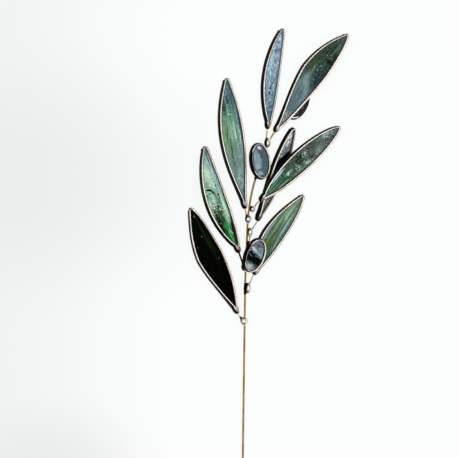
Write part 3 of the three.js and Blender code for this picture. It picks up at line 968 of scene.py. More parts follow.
@dataclass
class FramedPane:
    """A pane of glass in its rim of solder. A leaf and an olive each give it an outline.

    Attributes:
        name: Of the pane, as in its nodes' names.
        heading: How far its length is turned anticlockwise from the rod's, in degrees.
        rise: How much higher its tip is than its base, in mm.
        roll: How far it is rolled about its length, in degrees.
        length: With its rim, in mm. An olive's is that of its glass, as is its width.
        width: Of the glass, in mm.
        glass: What it is cut from.
        kind: Leaf or olive, as in its nodes' names.
        placing: Its place and turn in the frame.
    """

    name: str
    heading: float
    rise: float
    roll: float
    length: float
    width: float
    glass: StreakyGlass
    kind: str = field(default="pane", init=False)
    placing: Matrix = field(default_factory=Matrix, init=False)

    AROUND_SIDE = 100
    PANE_ROWS = 130
    PANE_COLUMNS = 20
    LOW_SIDE_FULLER = (0.2, 0.35)
    SIDE_BLEND = 0.7

    def turn(self) -> Matrix:
        """The pane's turn: rolled about its length, tipped, and headed.

        Returns:
            The turn.
        """
        heading = Matrix.Rotation(math.radians(self.heading), 4, "Z")
        tip = Matrix.Rotation(math.asin(self.rise / self.length), 4, "X")
        roll = Matrix.Rotation(math.radians(self.roll), 4, "Y")
        return heading @ tip @ roll

    def rim_point(self, step: int, part: SectionPoint) -> Point:
        """A point of the rim, in the pane's own mm."""
        raise NotImplementedError

    def rim_steps(self) -> int:
        """How many points lie round the rim."""
        raise NotImplementedError

    def rim_facing(self, step: int) -> float:
        """How far the rim faces right at a step, from -1 to 1."""
        raise NotImplementedError

    def rim_trim(self, step: int) -> float:
        """How far the rim's side is drawn in under its front lip, from 0 to 1."""
        return 0.0

    def low_side(self, step: int) -> float:
        """How far a step of the rim is on the low side, which faces right, from 0 to 1."""
        return soft_step(self.rim_facing(step) / self.SIDE_BLEND + 0.5)

    def rim_outward(self, step: int) -> Vector:
        """The way that the rim faces.

        Args:
            step: Where round the rim.

        Returns:
            A direction in the frame's own x and y.
        """
        edge = SectionPoint(0.0, 0.0, 0.0, 0.0)
        before, after = (Vector(self.rim_point((step + d) % self.rim_steps(), edge)) for d in (-1, 1))
        along = after - before
        outward = self.turn() @ Vector((along.y, -along.x, 0.0))
        return outward.xy.normalized()

    def rim_film_and_shade(self, step: int, part: SectionPoint) -> float:
        """How much dark a point of the rim carries: film, and painted shade where the rim faces left, so less where
        it faces right.
        """
        right_facing = self.low_side(step)
        return part.patina * (1 - right_facing) + part.right_facing * right_facing

    def solder_point(self, step: int, part: SectionPoint, trim: float) -> Vector:
        """A point of the rim as the solder set on the rolled pane: fuller on the low side, which faces right,
        with a nearly level lip on the high side, and its side drawn in by the trim.

        Args:
            step: Where round the rim.
            part: The corner of its section.
            trim: How far its side is drawn in, from 0 to 1.

        Returns:
            The point, in the pane's own mm.
        """
        fuller = 1 + self.LOW_SIDE_FULLER[part.offset > 0] * self.low_side(step)
        if part.offset > 0:
            fuller *= 1 - SIDE_DRAWN_IN * trim * soft_step((DRAWN_IN_BELOW - part.height) / DRAWN_IN_OVER)
        x, y, height = self.rim_point(step, replace(part, offset=part.offset * fuller))
        slope = math.tan(math.radians(self.roll * LIP_LEVELLING))
        share = soft_step((part.height - LEVEL_ABOVE) / LEVEL_OVER)
        return Vector((x, y, height + slope * share * part.offset * min(self.rim_facing(step), 0.0)))

    def pane_row(self, share: float) -> Point:
        """Height y, middle x and half width of the glass at a share of its length."""
        raise NotImplementedError

    def build_rim(self, shop: Workshop, seed: float) -> Piece:
        """Makes the rim: the lip's section swept round the pane, then given its uneven skin.

        Args:
            shop: What all pieces share.
            seed: Picks the unevenness.

        Returns:
            The piece.
        """
        section = rim_section()
        steps = self.rim_steps()
        trims = [self.rim_trim(i) for i in range(steps)]
        rows = [[self.placing @ (self.solder_point(i, part, trims[i]) * MM) for i in range(steps)]
                for part in section]
        marks = {"patina": [[self.rim_film_and_shade(i, part) for i in range(steps)] for part in section],
                 "hold": [[part.hold] * steps for part in section]}
        name = f"{self.kind}_{self.name}_rim"
        piece = new_piece(f"solder_{name}", mesh_from_rows(name, rows, marks, closed=True))
        shop.skin(piece, swell=0.03, ripple=0.006, seed=seed)
        return shop.hand_over(piece, "solder", name)

    def build_pane(self, shop: Workshop, seed: float) -> Piece:
        """Makes the pane: front and back face in rows across it, slightly wavy, with a square edge.

        Args:
            shop: What all pieces share.
            seed: Picks the waves.

        Returns:
            The piece.
        """
        half_thickness = GLASS_THICKNESS / 2
        across = [-math.cos(math.pi * c / self.PANE_COLUMNS) for c in range(self.PANE_COLUMNS + 1)]
        hold = [1.0, *[0.0] * (len(across) - 2), 1.0] * 2
        rows, insets = [], []
        for r in range(self.PANE_ROWS + 1):
            y, middle, half = self.pane_row(r / self.PANE_ROWS)
            front = [Vector((middle + half * a, y, half_thickness)) for a in across]
            back = [Vector((middle + half * a, y, -half_thickness)) for a in reversed(across)]
            rows.append([self.placing @ (p * MM) for p in front + back])
            inset = [half * (1 - abs(a)) for a in across]
            insets.append(inset + inset[::-1])
        name = f"{self.kind}_{self.name}_glass"
        marks = {"inset": insets, "side": [across + across[::-1]] * len(rows), "hold": [hold] * len(rows)}
        piece = new_piece(f"streaky_{name}", mesh_from_rows(name, rows, marks, closed=False, caps=True))
        material = self.glass.build(self.placing, self.length)
        finish_mesh(piece, shop.relief, {**PANE_WAVES, "Seed": seed, "Material": material})
        rest_on_floor(piece)
        return shop.hand_over(piece, self.glass.name, name)


@dataclass
class Leaf(FramedPane):
    """A leaf: its glass runs to a rounded tip and its rim is drawn out into a neck, where the wire goes in.

    Attributes:
        base: The neck's end, x, y and height.
        peak: Where the leaf is widest, as a share of the glass from its base.
        fullness: Below 2 the outline is full, above it is slender.
        bow: How far the midline bends to the left, most at bow_peak.
        joint: The bead that its wire ends in.
        end: Where in that bead, from its middle.
        wire_patina: How dark its wire is, from -1 for lightened by painted highlight to 1 where solder ran
        along it, which also makes it thicker.
        slim: How far its side is drawn in all along, from 0 to 1.
        neck_film_and_shade: How dark its neck is on the left, as painted shade, and at its end, from 0 to 2.
        low_film: How much film its lip carries on the right, from 0 to 1.
        angular: How far its outline runs straight to a corner at its widest, from 0 to 1.
        low_angular: How much more so below its widest.
        bow_fullness: Above 2 the midline bends more sharply.
    """

    base: Point
    peak: float
    fullness: float
    bow: float
    bow_peak: float
    joint: str
    end: Point
    wire_patina: float = WIRE_PAINTED_HIGHLIGHT
    slim: float = 0.0
    neck_film_and_shade: float = 1.0
    low_film: float = 0.0
    angular: float = 0.0
    low_angular: float = 0.0
    bow_fullness: float = 2.0
    kind: str = field(default="leaf", init=False)

    CAP = 12
    BASE = 22
    WIRE_STEPS = 10
    NECK_FULLER = 0.25
    TINNED_THICKER = 0.6
    # Above this height the lip's film is lightened or kept as rim_film_and_shade says. Below it is the section's
    # own.
    FILM_ABOVE = 1.3
    TIP_LIGHTER = 0.25
    # The tip's own film: how dark, where across the lip it starts, over how much it deepens, and how far it
    # runs down the sides.
    CAP_FILM = (0.9, 0.3, 0.35)
    CAP_REACH = (1.3, 18)
    # The neck's film: where across the lip it starts, over how much it deepens, and how far it runs round.
    NECK_FILM = (0.1, 0.35)
    NECK_REACH = (1.2, 4)
    # The side is drawn in where it faces less far left than this, and fully so this much less.
    TRIM_FACING = (0.92, 0.42)
    TRIM_STEPS = 36
    SLOPE_STEP = 0.01
    SQUARE_FROM = 0.08
    # The neck's outline, as corners of a smooth curve: across and up in mm, before the glass's base.
    NECK_CORNERS = ((0, -0.3), (1.8, -0.3))
    NECK_SHOULDER = (0.1, 2.4)
    # Share of the end's radius that the glass fills, and of its rows that are spread towards both ends.
    GLASS_REACH = 0.96
    ROW_EASE = 0.5

    @property
    def base_y(self) -> float:
        """Where the round of the glass's base has its middle."""
        return NECK_LENGTH + LEAF_BASE_RADIUS

    @property
    def tip_y(self) -> float:
        """Where the round of the glass's tip has its middle."""
        return self.length - EDGE_BEAD - LEAF_END_RADIUS

    def side_point(self, t: float) -> Point:
        """The outline at a share of the way from the glass's base to its tip.

        Args:
            t: The share.

        Returns:
            Midline x, y and half width.
        """
        end = LEAF_BASE_RADIUS + (LEAF_END_RADIUS - LEAF_BASE_RADIUS) * soft_step(t)
        straight = max(0.0, min(t / self.peak, (1 - t) / (1 - self.peak)))
        angular = self.angular + (self.low_angular if t < self.peak else 0.0)
        shape = hump(t, self.peak, self.fullness) * (1 - angular) + straight * angular
        bend = -self.bow * hump(t, self.bow_peak, self.bow_fullness)
        return bend, self.base_y + t * (self.tip_y - self.base_y), end + (self.width / 2 - end) * shape

    def settle(self, shop: Workshop) -> None:
        """Finds the leaf's place: as laid out, at the height that its glass has in the frame.

        Args:
            shop: What all pieces share.
        """
        turn = self.turn()
        lowest = math.inf
        for r in range(self.PANE_ROWS + 1):
            y, middle, half = self.pane_row(r / self.PANE_ROWS)
            for x in (middle - half, middle + half):
                lowest = min(lowest, (turn @ Vector((x, y, -GLASS_THICKNESS / 2))).z)
        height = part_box(f"leaf_{self.name}_glass")[0].z - lowest * MM
        place = shop.layout.place(self.base)
        self.placing = Matrix.Translation((place.x, place.y, height)) @ turn

    def rim_steps(self) -> int:
        """Points round the rim: base, right side, tip, left side."""
        return 2 * self.BASE + 2 * self.AROUND_SIDE + self.CAP

    def rim_point(self, step: int, part: SectionPoint) -> Point:
        """A point of the rim. The outer corners are drawn out into the neck at the base.

        Args:
            step: Where round the rim.
            part: The corner of its section.

        Returns:
            The point, in the pane's own mm.
        """
        pull = soft_step((part.offset - CREST_OFFSET) / (EDGE_BEAD - CREST_OFFSET))
        if step <= self.BASE:
            return self.base_point(step / self.BASE, 1, part, pull)
        step -= self.BASE
        if step < self.AROUND_SIDE:
            return self.flank_point(step / self.AROUND_SIDE, 1, part)
        step -= self.AROUND_SIDE
        if step <= self.CAP:
            angle = math.pi * step / self.CAP
            radius = LEAF_END_RADIUS + part.offset
            return radius * math.cos(angle), self.tip_y + radius * math.sin(angle), part.height
        step -= self.CAP
        if step < self.AROUND_SIDE:
            return self.flank_point(1 - step / self.AROUND_SIDE, -1, part)
        step -= self.AROUND_SIDE
        return self.base_point(1 - step / self.BASE, -1, part, pull)

    def rim_facing(self, step: int) -> float:
        """How far the rim faces right, all of it on the right side and round the two ends.

        Args:
            step: Where round the rim.

        Returns:
            From -1 for left to 1 for right.
        """
        if step <= self.BASE:
            return math.sin(math.pi / 2 * step / self.BASE)
        step -= self.BASE + self.AROUND_SIDE
        if step <= 0:
            return 1.0
        if step <= self.CAP:
            return math.cos(math.pi * step / self.CAP)
        step -= self.CAP + self.AROUND_SIDE
        return -1.0 if step < 0 else -math.sin(math.pi / 2 * (1 - step / self.BASE))

    def rim_film_and_shade(self, step: int, part: SectionPoint) -> float:
        """How much dark a point of the rim carries: towards the tip the lip is lighter further out, and the
        neck is dark at its end and, as painted shade, on its left.

        Args:
            step: Where round the rim.
            part: The corner of its section.

        Returns:
            The film, from 0 to 1.
        """
        film = super().rim_film_and_shade(step, part)
        if part.offset < 0 or part.height < self.FILM_ABOVE:
            return film
        way = abs(step - self.BASE - self.AROUND_SIDE - self.CAP / 2) - self.CAP / 2
        tipward = 1 - min(1.0, max(0.0, way) / self.AROUND_SIDE)
        cap = soft_step(self.CAP_REACH[0] - way / self.CAP_REACH[1])
        # Painted shade: the left side of the neck is darkened, as rims that face left are.
        left = soft_step((step - self.rim_steps() + 2 * self.BASE) / self.BASE)
        neck = soft_step(self.NECK_REACH[0] - self.NECK_REACH[1] * step / self.BASE)
        kept = max(0.0, film - self.TIP_LIGHTER * tipward, self.low_film * soft_step(self.rim_facing(step)))
        dark, start, over = self.CAP_FILM
        kept += (dark * soft_step((part.offset - start) / over) - kept) * cap
        start, over = self.NECK_FILM
        return min(1.0, kept + max(left, neck) * soft_step((part.offset - start) / over) * self.neck_film_and_shade)

    def rim_trim(self, step: int) -> float:
        """How far the side is drawn in: most where it faces up or down the picture, not at the neck.

        Args:
            step: Where round the rim.

        Returns:
            From 0 to 1, and below 0 where the neck is fuller.
        """
        if self.rim_facing(step) >= 0:
            return 0.0
        turned = soft_step((self.TRIM_FACING[0] + self.rim_outward(step).x) / self.TRIM_FACING[1])
        along = soft_step((self.rim_steps() - step - self.BASE) / self.TRIM_STEPS)
        return (1 - (1 - turned) * (1 - self.slim)) * along - self.NECK_FULLER * (1 - along)

    def flank_point(self, u: float, sign: int, part: SectionPoint) -> Point:
        """A point of the rim along a side, square to the side except at its two ends.

        Args:
            u: Share of the side, from the base.
            sign: 1 for the right side, -1 for the left.
            part: The corner of the rim's section.

        Returns:
            The point, in the pane's own mm.
        """
        t = (1 - math.cos(math.pi * u)) / 2
        middle, y, half = self.side_point(t)
        near, far = (self.side_point(min(1.0, max(0.0, t + d))) for d in (-self.SLOPE_STEP, self.SLOPE_STEP))
        along = Vector((far[0] + sign * far[2] - near[0] - sign * near[2], far[1] - near[1]))
        square = Vector((along.y, -along.x)).normalized() * sign
        turned = soft_step(min(t, 1 - t) / self.SQUARE_FROM)
        out = Vector((sign, 0.0)).lerp(square, turned).normalized() * part.offset
        return middle + sign * half + out.x, y + out.y, part.height

    def base_point(self, s: float, sign: int, part: SectionPoint, pull: float) -> Point:
        """A point of the rim's base.

        Args:
            s: From its middle (0) to where the side starts (1).
            sign: 1 for the right side, -1 for the left.
            part: The corner of the rim's section.
            pull: How far it is drawn out into the neck, from 0 to 1.

        Returns:
            The point, in the pane's own mm.
        """
        radius = LEAF_BASE_RADIUS + part.offset
        angle = s * math.pi / 2
        near = Vector((radius * math.sin(angle), self.base_y - radius * math.cos(angle)))
        wide = LEAF_BASE_RADIUS + max(EDGE_BEAD, part.offset)
        shoulder = (wide - self.NECK_SHOULDER[0], self.NECK_SHOULDER[1])
        corners = [Vector(c) for c in (*self.NECK_CORNERS, shoulder, (wide, self.base_y))]
        weights = ((1 - s) ** 3, 3 * s * (1 - s) ** 2, 3 * s * s * (1 - s), s**3)
        far = sum((c * w for c, w in zip(corners, weights)), Vector((0, 0)))
        point = near.lerp(far, pull)
        height = part.height * (1 - pull * (1 - NECK_HALF_HEIGHT / LIP_HEIGHT) * (1 - soft_step(s)))
        return sign * point.x, point.y, height

    def pane_row(self, share: float) -> Point:
        """A row of the glass, through its rounded base, its sides and its rounded tip.

        Args:
            share: Of the glass's length.

        Returns:
            Height y, middle x and half width.
        """
        start = self.base_y - LEAF_BASE_RADIUS * self.GLASS_REACH
        stop = self.tip_y + LEAF_END_RADIUS * self.GLASS_REACH
        eased = (1 - math.cos(math.pi * share)) / 2 * self.ROW_EASE + share * (1 - self.ROW_EASE)
        y = start + (stop - start) * eased
        if y < self.base_y:
            return y, 0.0, math.sqrt(LEAF_BASE_RADIUS**2 - (self.base_y - y) ** 2)
        if y > self.tip_y:
            return y, 0.0, math.sqrt(LEAF_END_RADIUS**2 - (y - self.tip_y) ** 2)
        middle, y, half = self.side_point((y - self.base_y) / (self.tip_y - self.base_y))
        return y, middle, half

    def build_wire(self, shop: Workshop, joints: dict[str, "StemJoint"]) -> Piece:
        """Makes the wire, out of the neck's socket and into its bead on the rod.

        Args:
            shop: What all pieces share.
            joints: The joints by name.

        Returns:
            The piece.
        """
        neck = [self.placing @ Vector((0, y * MM, 0)) for y in (SOCKET_DEPTH, 0.0, -WIRE_STRAIGHT_LENGTH)]
        joint = joints[self.joint]
        end = shop.layout.place(joint.centre) + Vector(self.end) * MM
        path = catmull_rom([*neck, end], self.WIRE_STEPS)
        diameter = WIRE_DIAMETER * (1 + self.TINNED_THICKER * max(0.0, self.wire_patina))
        joint.arms.append((neck[-1], end, diameter))
        return shop.bar(f"leaf_{self.name}_wire", path, diameter, WIRE_SIDES, lambda up: self.wire_patina)


@dataclass
class Olive(FramedPane):
    """An olive: an oval pane in its rim, held by a bead of solder.

    Attributes:
        centre: The pane's middle.
        hold_angle: Where its bead sits, in degrees anticlockwise from its right side.
        via: A point that its wire passes.
        joint: The bead that its wire ends in, or "" when it is soldered straight to the rod.
        end: Where in that bead, from its middle.
        dark_at: Where else round the rim it is dark, in degrees like the bead's. Unless given it is on the left,
            where the dark is painted shade.
        dark_reach: How far to both sides of that, in degrees.
    """

    centre: Point
    hold_angle: float = 0.0
    via: Point = (0.0, 0.0, 0.0)
    joint: str = ""
    end: Point = (0.0, 0.0, 0.0)
    dark_at: float = 180.0
    dark_reach: float = 35.0
    kind: str = field(default="olive", init=False)

    LOW_SIDE_FULLER = (0.0, 0.1)
    WIRE_STEPS = 12
    FILM_DARK = 0.9
    # Where across the lip the dark line starts and over how much it deepens, and so for the dark arc at dark_at.
    OUTER_LINE = (0.4, 0.25)
    DARK_ARC = (-0.3, 0.3)
    DARK_ARC_BLEND = 0.2
    GLASS_ROWS = (0.03, 0.94)

    def settle(self, shop: Workshop) -> None:
        """Finds the olive's place in the frame."""
        self.placing = Matrix.Translation(shop.layout.place(self.centre)) @ self.turn()

    def rim_steps(self) -> int:
        """Points round the rim."""
        return 2 * self.AROUND_SIDE

    def rim_point(self, step: int, part: SectionPoint) -> Point:
        """A point of the rim.

        Args:
            step: Where round the rim.
            part: The corner of its section.

        Returns:
            The point, in the pane's own mm.
        """
        angle = 2 * math.pi * step / self.rim_steps()
        return ((self.width / 2 + part.offset) * math.cos(angle), (self.length / 2 + part.offset) * math.sin(angle),
                part.height)

    def rim_facing(self, step: int) -> float:
        """How far the rim faces right."""
        return math.cos(2 * math.pi * step / self.rim_steps())

    def rim_film_and_shade(self, step: int, part: SectionPoint) -> float:
        """How much dark a point of the rim carries: its outer line is dark all round, and so is the arc at dark_at,
            which on the left is painted shade.

        Args:
            step: Where round the rim.
            part: The corner of its section.

        Returns:
            The film, from 0 to 1.
        """
        near = math.cos(2 * math.pi * step / self.rim_steps() - math.radians(self.dark_at))
        dark_arc = soft_step((near - math.cos(math.radians(self.dark_reach))) / self.DARK_ARC_BLEND + 0.5)
        dark_arc *= soft_step((part.offset - self.DARK_ARC[0]) / self.DARK_ARC[1])
        line = soft_step((part.offset - self.OUTER_LINE[0]) / self.OUTER_LINE[1])
        return max(super().rim_film_and_shade(step, part), self.FILM_DARK * line, self.FILM_DARK * dark_arc)

    def pane_row(self, share: float) -> Point:
        """A row of the glass."""
        up = -math.cos(math.pi * (self.GLASS_ROWS[0] + self.GLASS_ROWS[1] * share))
        return self.length / 2 * up, 0.0, self.width / 2 * math.sqrt(1 - up * up)

    def hold_point(self) -> Vector:
        """Where the olive's wire ends, beside and a little below the middle of its rim.

        Returns:
            The place in the frame.
        """
        angle = math.radians(self.hold_angle)
        grow = EDGE_BEAD + SEAT_GAP + WIRE_DIAMETER / 2
        return self.placing @ (Vector(((self.width / 2 + grow) * math.cos(angle),
                                       (self.length / 2 + grow) * math.sin(angle), -HOLD_DROP)) * MM)

    def build_wire(self, shop: Workshop, joints: dict[str, "StemJoint"]) -> Piece:
        """Makes the wire, from the olive's bead to its bead on the rod.

        Args:
            shop: What all pieces share.
            joints: The joints by name.

        Returns:
            The piece.
        """
        joint = joints[self.joint]
        end = shop.layout.place(joint.centre) + Vector(self.end) * MM
        via = shop.layout.place(self.via)
        joint.arms.append((via, end, WIRE_DIAMETER))
        path = catmull_rom([self.hold_point(), via, end], self.WIRE_STEPS)
        return shop.bar(f"olive_{self.name}_wire", path, WIRE_DIAMETER, WIRE_SIDES)


@dataclass
class Bead:
    """A bead of solder: a rounded drop that creeps a little way along each bar that it holds.

    Attributes:
        node: The node that it stands for.
        centre: Its middle, in the frame.
        size: Along x, y and z, in mm.
        arms: Bars that it holds, each as a point outside, a point inside and the bar's diameter.
        unshaded: How far to the left it is free of painted shade, from -1 to 1 of its half width.
    """

    node: str
    centre: Vector
    size: Point
    arms: list[tuple[Vector, Vector, float]]
    unshaded: float

    CREEP = 0.3
    SAG = 0.8
    VOXEL = 0.17
    SHRINKAGE = 1.08
    SWELL = 0.1
    RIPPLE = 0.03
    # Half thickness of the solder that crept, over the bar's own: beside the bead, at the least, and at its end.
    CREEP_FOOT = 0.45
    CREEP_FOOT_LEAST = 1.2
    CREEP_END = 0.15
    # A bar that points down the rod more than this carries the solder that sagged.
    DOWNWARD = -0.8
    # Dark: film on what crept past the drop, and painted shade below its middle and on its left, leaning up. PLAIN
    # is none at all.
    CREPT_FROM = 1.02
    CREPT_OVER = 0.3
    CREPT_FILM = 0.4
    LOW_FROM = 0.1
    SHADE_REACH = 0.9
    SHADE_LEAN = 0.25
    SHADE_BLEND = 0.5
    PLAIN = -0.4

    def build(self, shop: Workshop, seed: float) -> Piece:
        """Makes the bead: drop and creep melted into one skin.

        Args:
            shop: What all pieces share.
            seed: Picks its unevenness.

        Returns:
            The piece.
        """
        work = bmesh.new()
        half = (s / 2 * MM * self.SHRINKAGE for s in self.size)
        shape = Matrix.Translation(self.centre) @ Matrix.Diagonal((*half, 1.0))
        bmesh.ops.create_icosphere(work, subdivisions=4, radius=1.0, matrix=shape)
        for outside, inside, diameter in self.arms:
            self._add_creep(work, outside, inside, diameter)
        mesh = bpy.data.meshes.new(self.node)
        work.to_mesh(mesh)
        work.free()
        piece = new_piece(f"solder_{self.node}", mesh)
        remesh = piece.modifiers.new("melt", "REMESH")
        remesh.mode = "VOXEL"
        remesh.voxel_size = self.VOXEL * MM
        relax = piece.modifiers.new("flow", "SMOOTH")
        relax.factor = 0.5
        relax.iterations = 7
        keep_evaluated(piece)
        self._mark_patina_and_shade(piece)
        shop.skin(piece, swell=self.SWELL, ripple=self.RIPPLE, seed=seed)
        return shop.hand_over(piece, "solder", self.node)

    def _add_creep(self, work: bmesh.types.BMesh, outside: Vector, inside: Vector, diameter: float) -> None:
        """Adds the tapered collar where solder crept along a bar.

        Args:
            work: The mesh so far.
            outside: A point of the bar away from the bead.
            inside: A point of the bar inside the bead.
            diameter: The bar's diameter in mm.
        """
        way = (outside - inside).normalized()
        half = max(Vector((way.x * self.size[0], way.y * self.size[1], way.z * self.size[2])).length / 2, diameter)
        length = (half + (self.SAG if way.y < self.DOWNWARD else self.CREEP)) * MM
        foot = max(diameter / 2 + self.CREEP_FOOT, self.CREEP_FOOT_LEAST) * MM
        turn = way.to_track_quat("Z", "Y").to_matrix().to_4x4()
        middle = Matrix.Translation(inside + way * length / 2) @ turn
        bmesh.ops.create_cone(work, cap_ends=True, segments=24, radius1=foot,
                              radius2=(diameter / 2 + self.CREEP_END) * MM, depth=length, matrix=middle)

    def _mark_patina_and_shade(self, piece: Piece) -> None:
        """Marks dark film on the solder that crept along the bars, and painted shade at the bead's foot and on its
        left.

        Args:
            piece: The bead.
        """
        half = Vector(self.size) / 2 * MM
        values = []
        for vertex in piece.data.vertices:
            away = vertex.co - self.centre
            spread = Vector((away.x / half.x, away.y / half.y, away.z / half.z)).length
            crept = soft_step((spread - self.CREPT_FROM) / self.CREPT_OVER) * self.CREPT_FILM
            low = soft_step(-away.z / half.z * self.SHADE_REACH - self.LOW_FROM)
            left = -away.x / half.x * self.SHADE_REACH + away.y / half.y * self.SHADE_LEAN
            film = crept + low + soft_step((left - self.unshaded) / self.SHADE_BLEND)
            values.append(min(1.0, (1 - self.PLAIN) * film + self.PLAIN))
        piece.data.attributes.new("patina", "FLOAT", "POINT").data.foreach_set("value", values)


@dataclass
class StemJoint:
    """A joint on the rod.

    Attributes:
        name: As in its node's name.
        at: Its middle, across and along, in the layout.
        size: Along x, y and z, in mm.
        unshaded: How far to the left it is free of painted shade, as in its bead.
        on_rod: Whether its solder crept along the rod.
        arms: The bars that meet in it.
        centre: Its middle, on the rod.
    """

    name: str
    at: tuple[float, float]
    size: Point
    unshaded: float
    on_rod: bool = True
    arms: list[tuple[Vector, Vector, float]] = field(default_factory=list)
    centre: Point = (0.0, 0.0, 0.0)


@dataclass
class Rod:
    """The brass rod: it rises from the surface at its cut end to where the leaves hold it.

    Attributes:
        path: Points of its axis, in the layout.
    """

    path: Sequence[Point]

    STEPS = 40
    SIDES = 24
    BARE_FILM = 0.12
    # Darker among the leaves, and lighter again above: how much, from where up the layout and over how far,
    # in mm.
    DARKER_AMONG_LEAVES = (0.3, 190, 20)
    LIGHTER_ABOVE = (-0.16, 240, 15)

    def curve(self) -> list[Vector]:
        """The rod's axis, in the layout."""
        return catmull_rom([Vector(p) for p in self.path], self.STEPS)

    def point_at(self, y: float) -> Vector:
        """The rod's axis at a height of the branch.

        Args:
            y: The height, in the layout.

        Returns:
            The point, in the layout.
        """
        curve = self.curve()
        for low, high in zip(curve, curve[1:]):
            if low.y <= y <= high.y:
                return low.lerp(high, (y - low.y) / (high.y - low.y))
        return curve[-1]

    def film(self, up: float) -> float:
        """How dark it is: a little, and more among the leaves."""
        steps = (self.DARKER_AMONG_LEAVES, self.LIGHTER_ABOVE)
        return self.BARE_FILM + sum(amount * soft_step((up - start) / over) for amount, start, over in steps)

    def build(self, shop: Workshop) -> Piece:
        """Makes the rod."""
        path = [shop.layout.place(p) for p in self.curve()]
        return shop.bar("stem_rod", path, ROD_DIAMETER, self.SIDES, self.film)


class Facing(Enum):
    """Which side a soft light shines from."""

    ABOVE = "above"
    HIGH_RIGHT = "high_right"
    LOW_RIGHT = "low_right"
    LEFT = "left"


@dataclass(frozen=True)
class SoftLight:
    """A large soft light.

    Attributes:
        facing: The side it shines from.
        place: Where it hangs from the branch's middle, in metres.
        size: Its width and height, in metres.
        radiance: Its brightness.
        colour: sRGB hex.
        mirrored: Whether it is seen as a reflection.
    """

    facing: Facing
    place: Point
    size: tuple[float, float]
    radiance: float
    colour: str = "ffffff"
    mirrored: bool = True

    def hang(self, target: Vector) -> None:
        """Hangs the light and points it at the target.

        Args:
            target: The branch's middle.
        """
        data = bpy.data.lights.new(f"soft_light_{self.facing.value}", "AREA")
        data.shape = "RECTANGLE"
        data.size, data.size_y = self.size
        data.energy = self.radiance * math.pi * self.size[0] * self.size[1]
        data.color = linear(self.colour)[:3]
        lamp = bpy.data.objects.new(data.name, data)
        bpy.context.scene.collection.objects.link(lamp)
        lamp.location = target + Vector(self.place)
        lamp.visible_glossy = self.mirrored
        lamp.rotation_euler = Vector(self.place).to_track_quat("Z", "Y").to_euler()


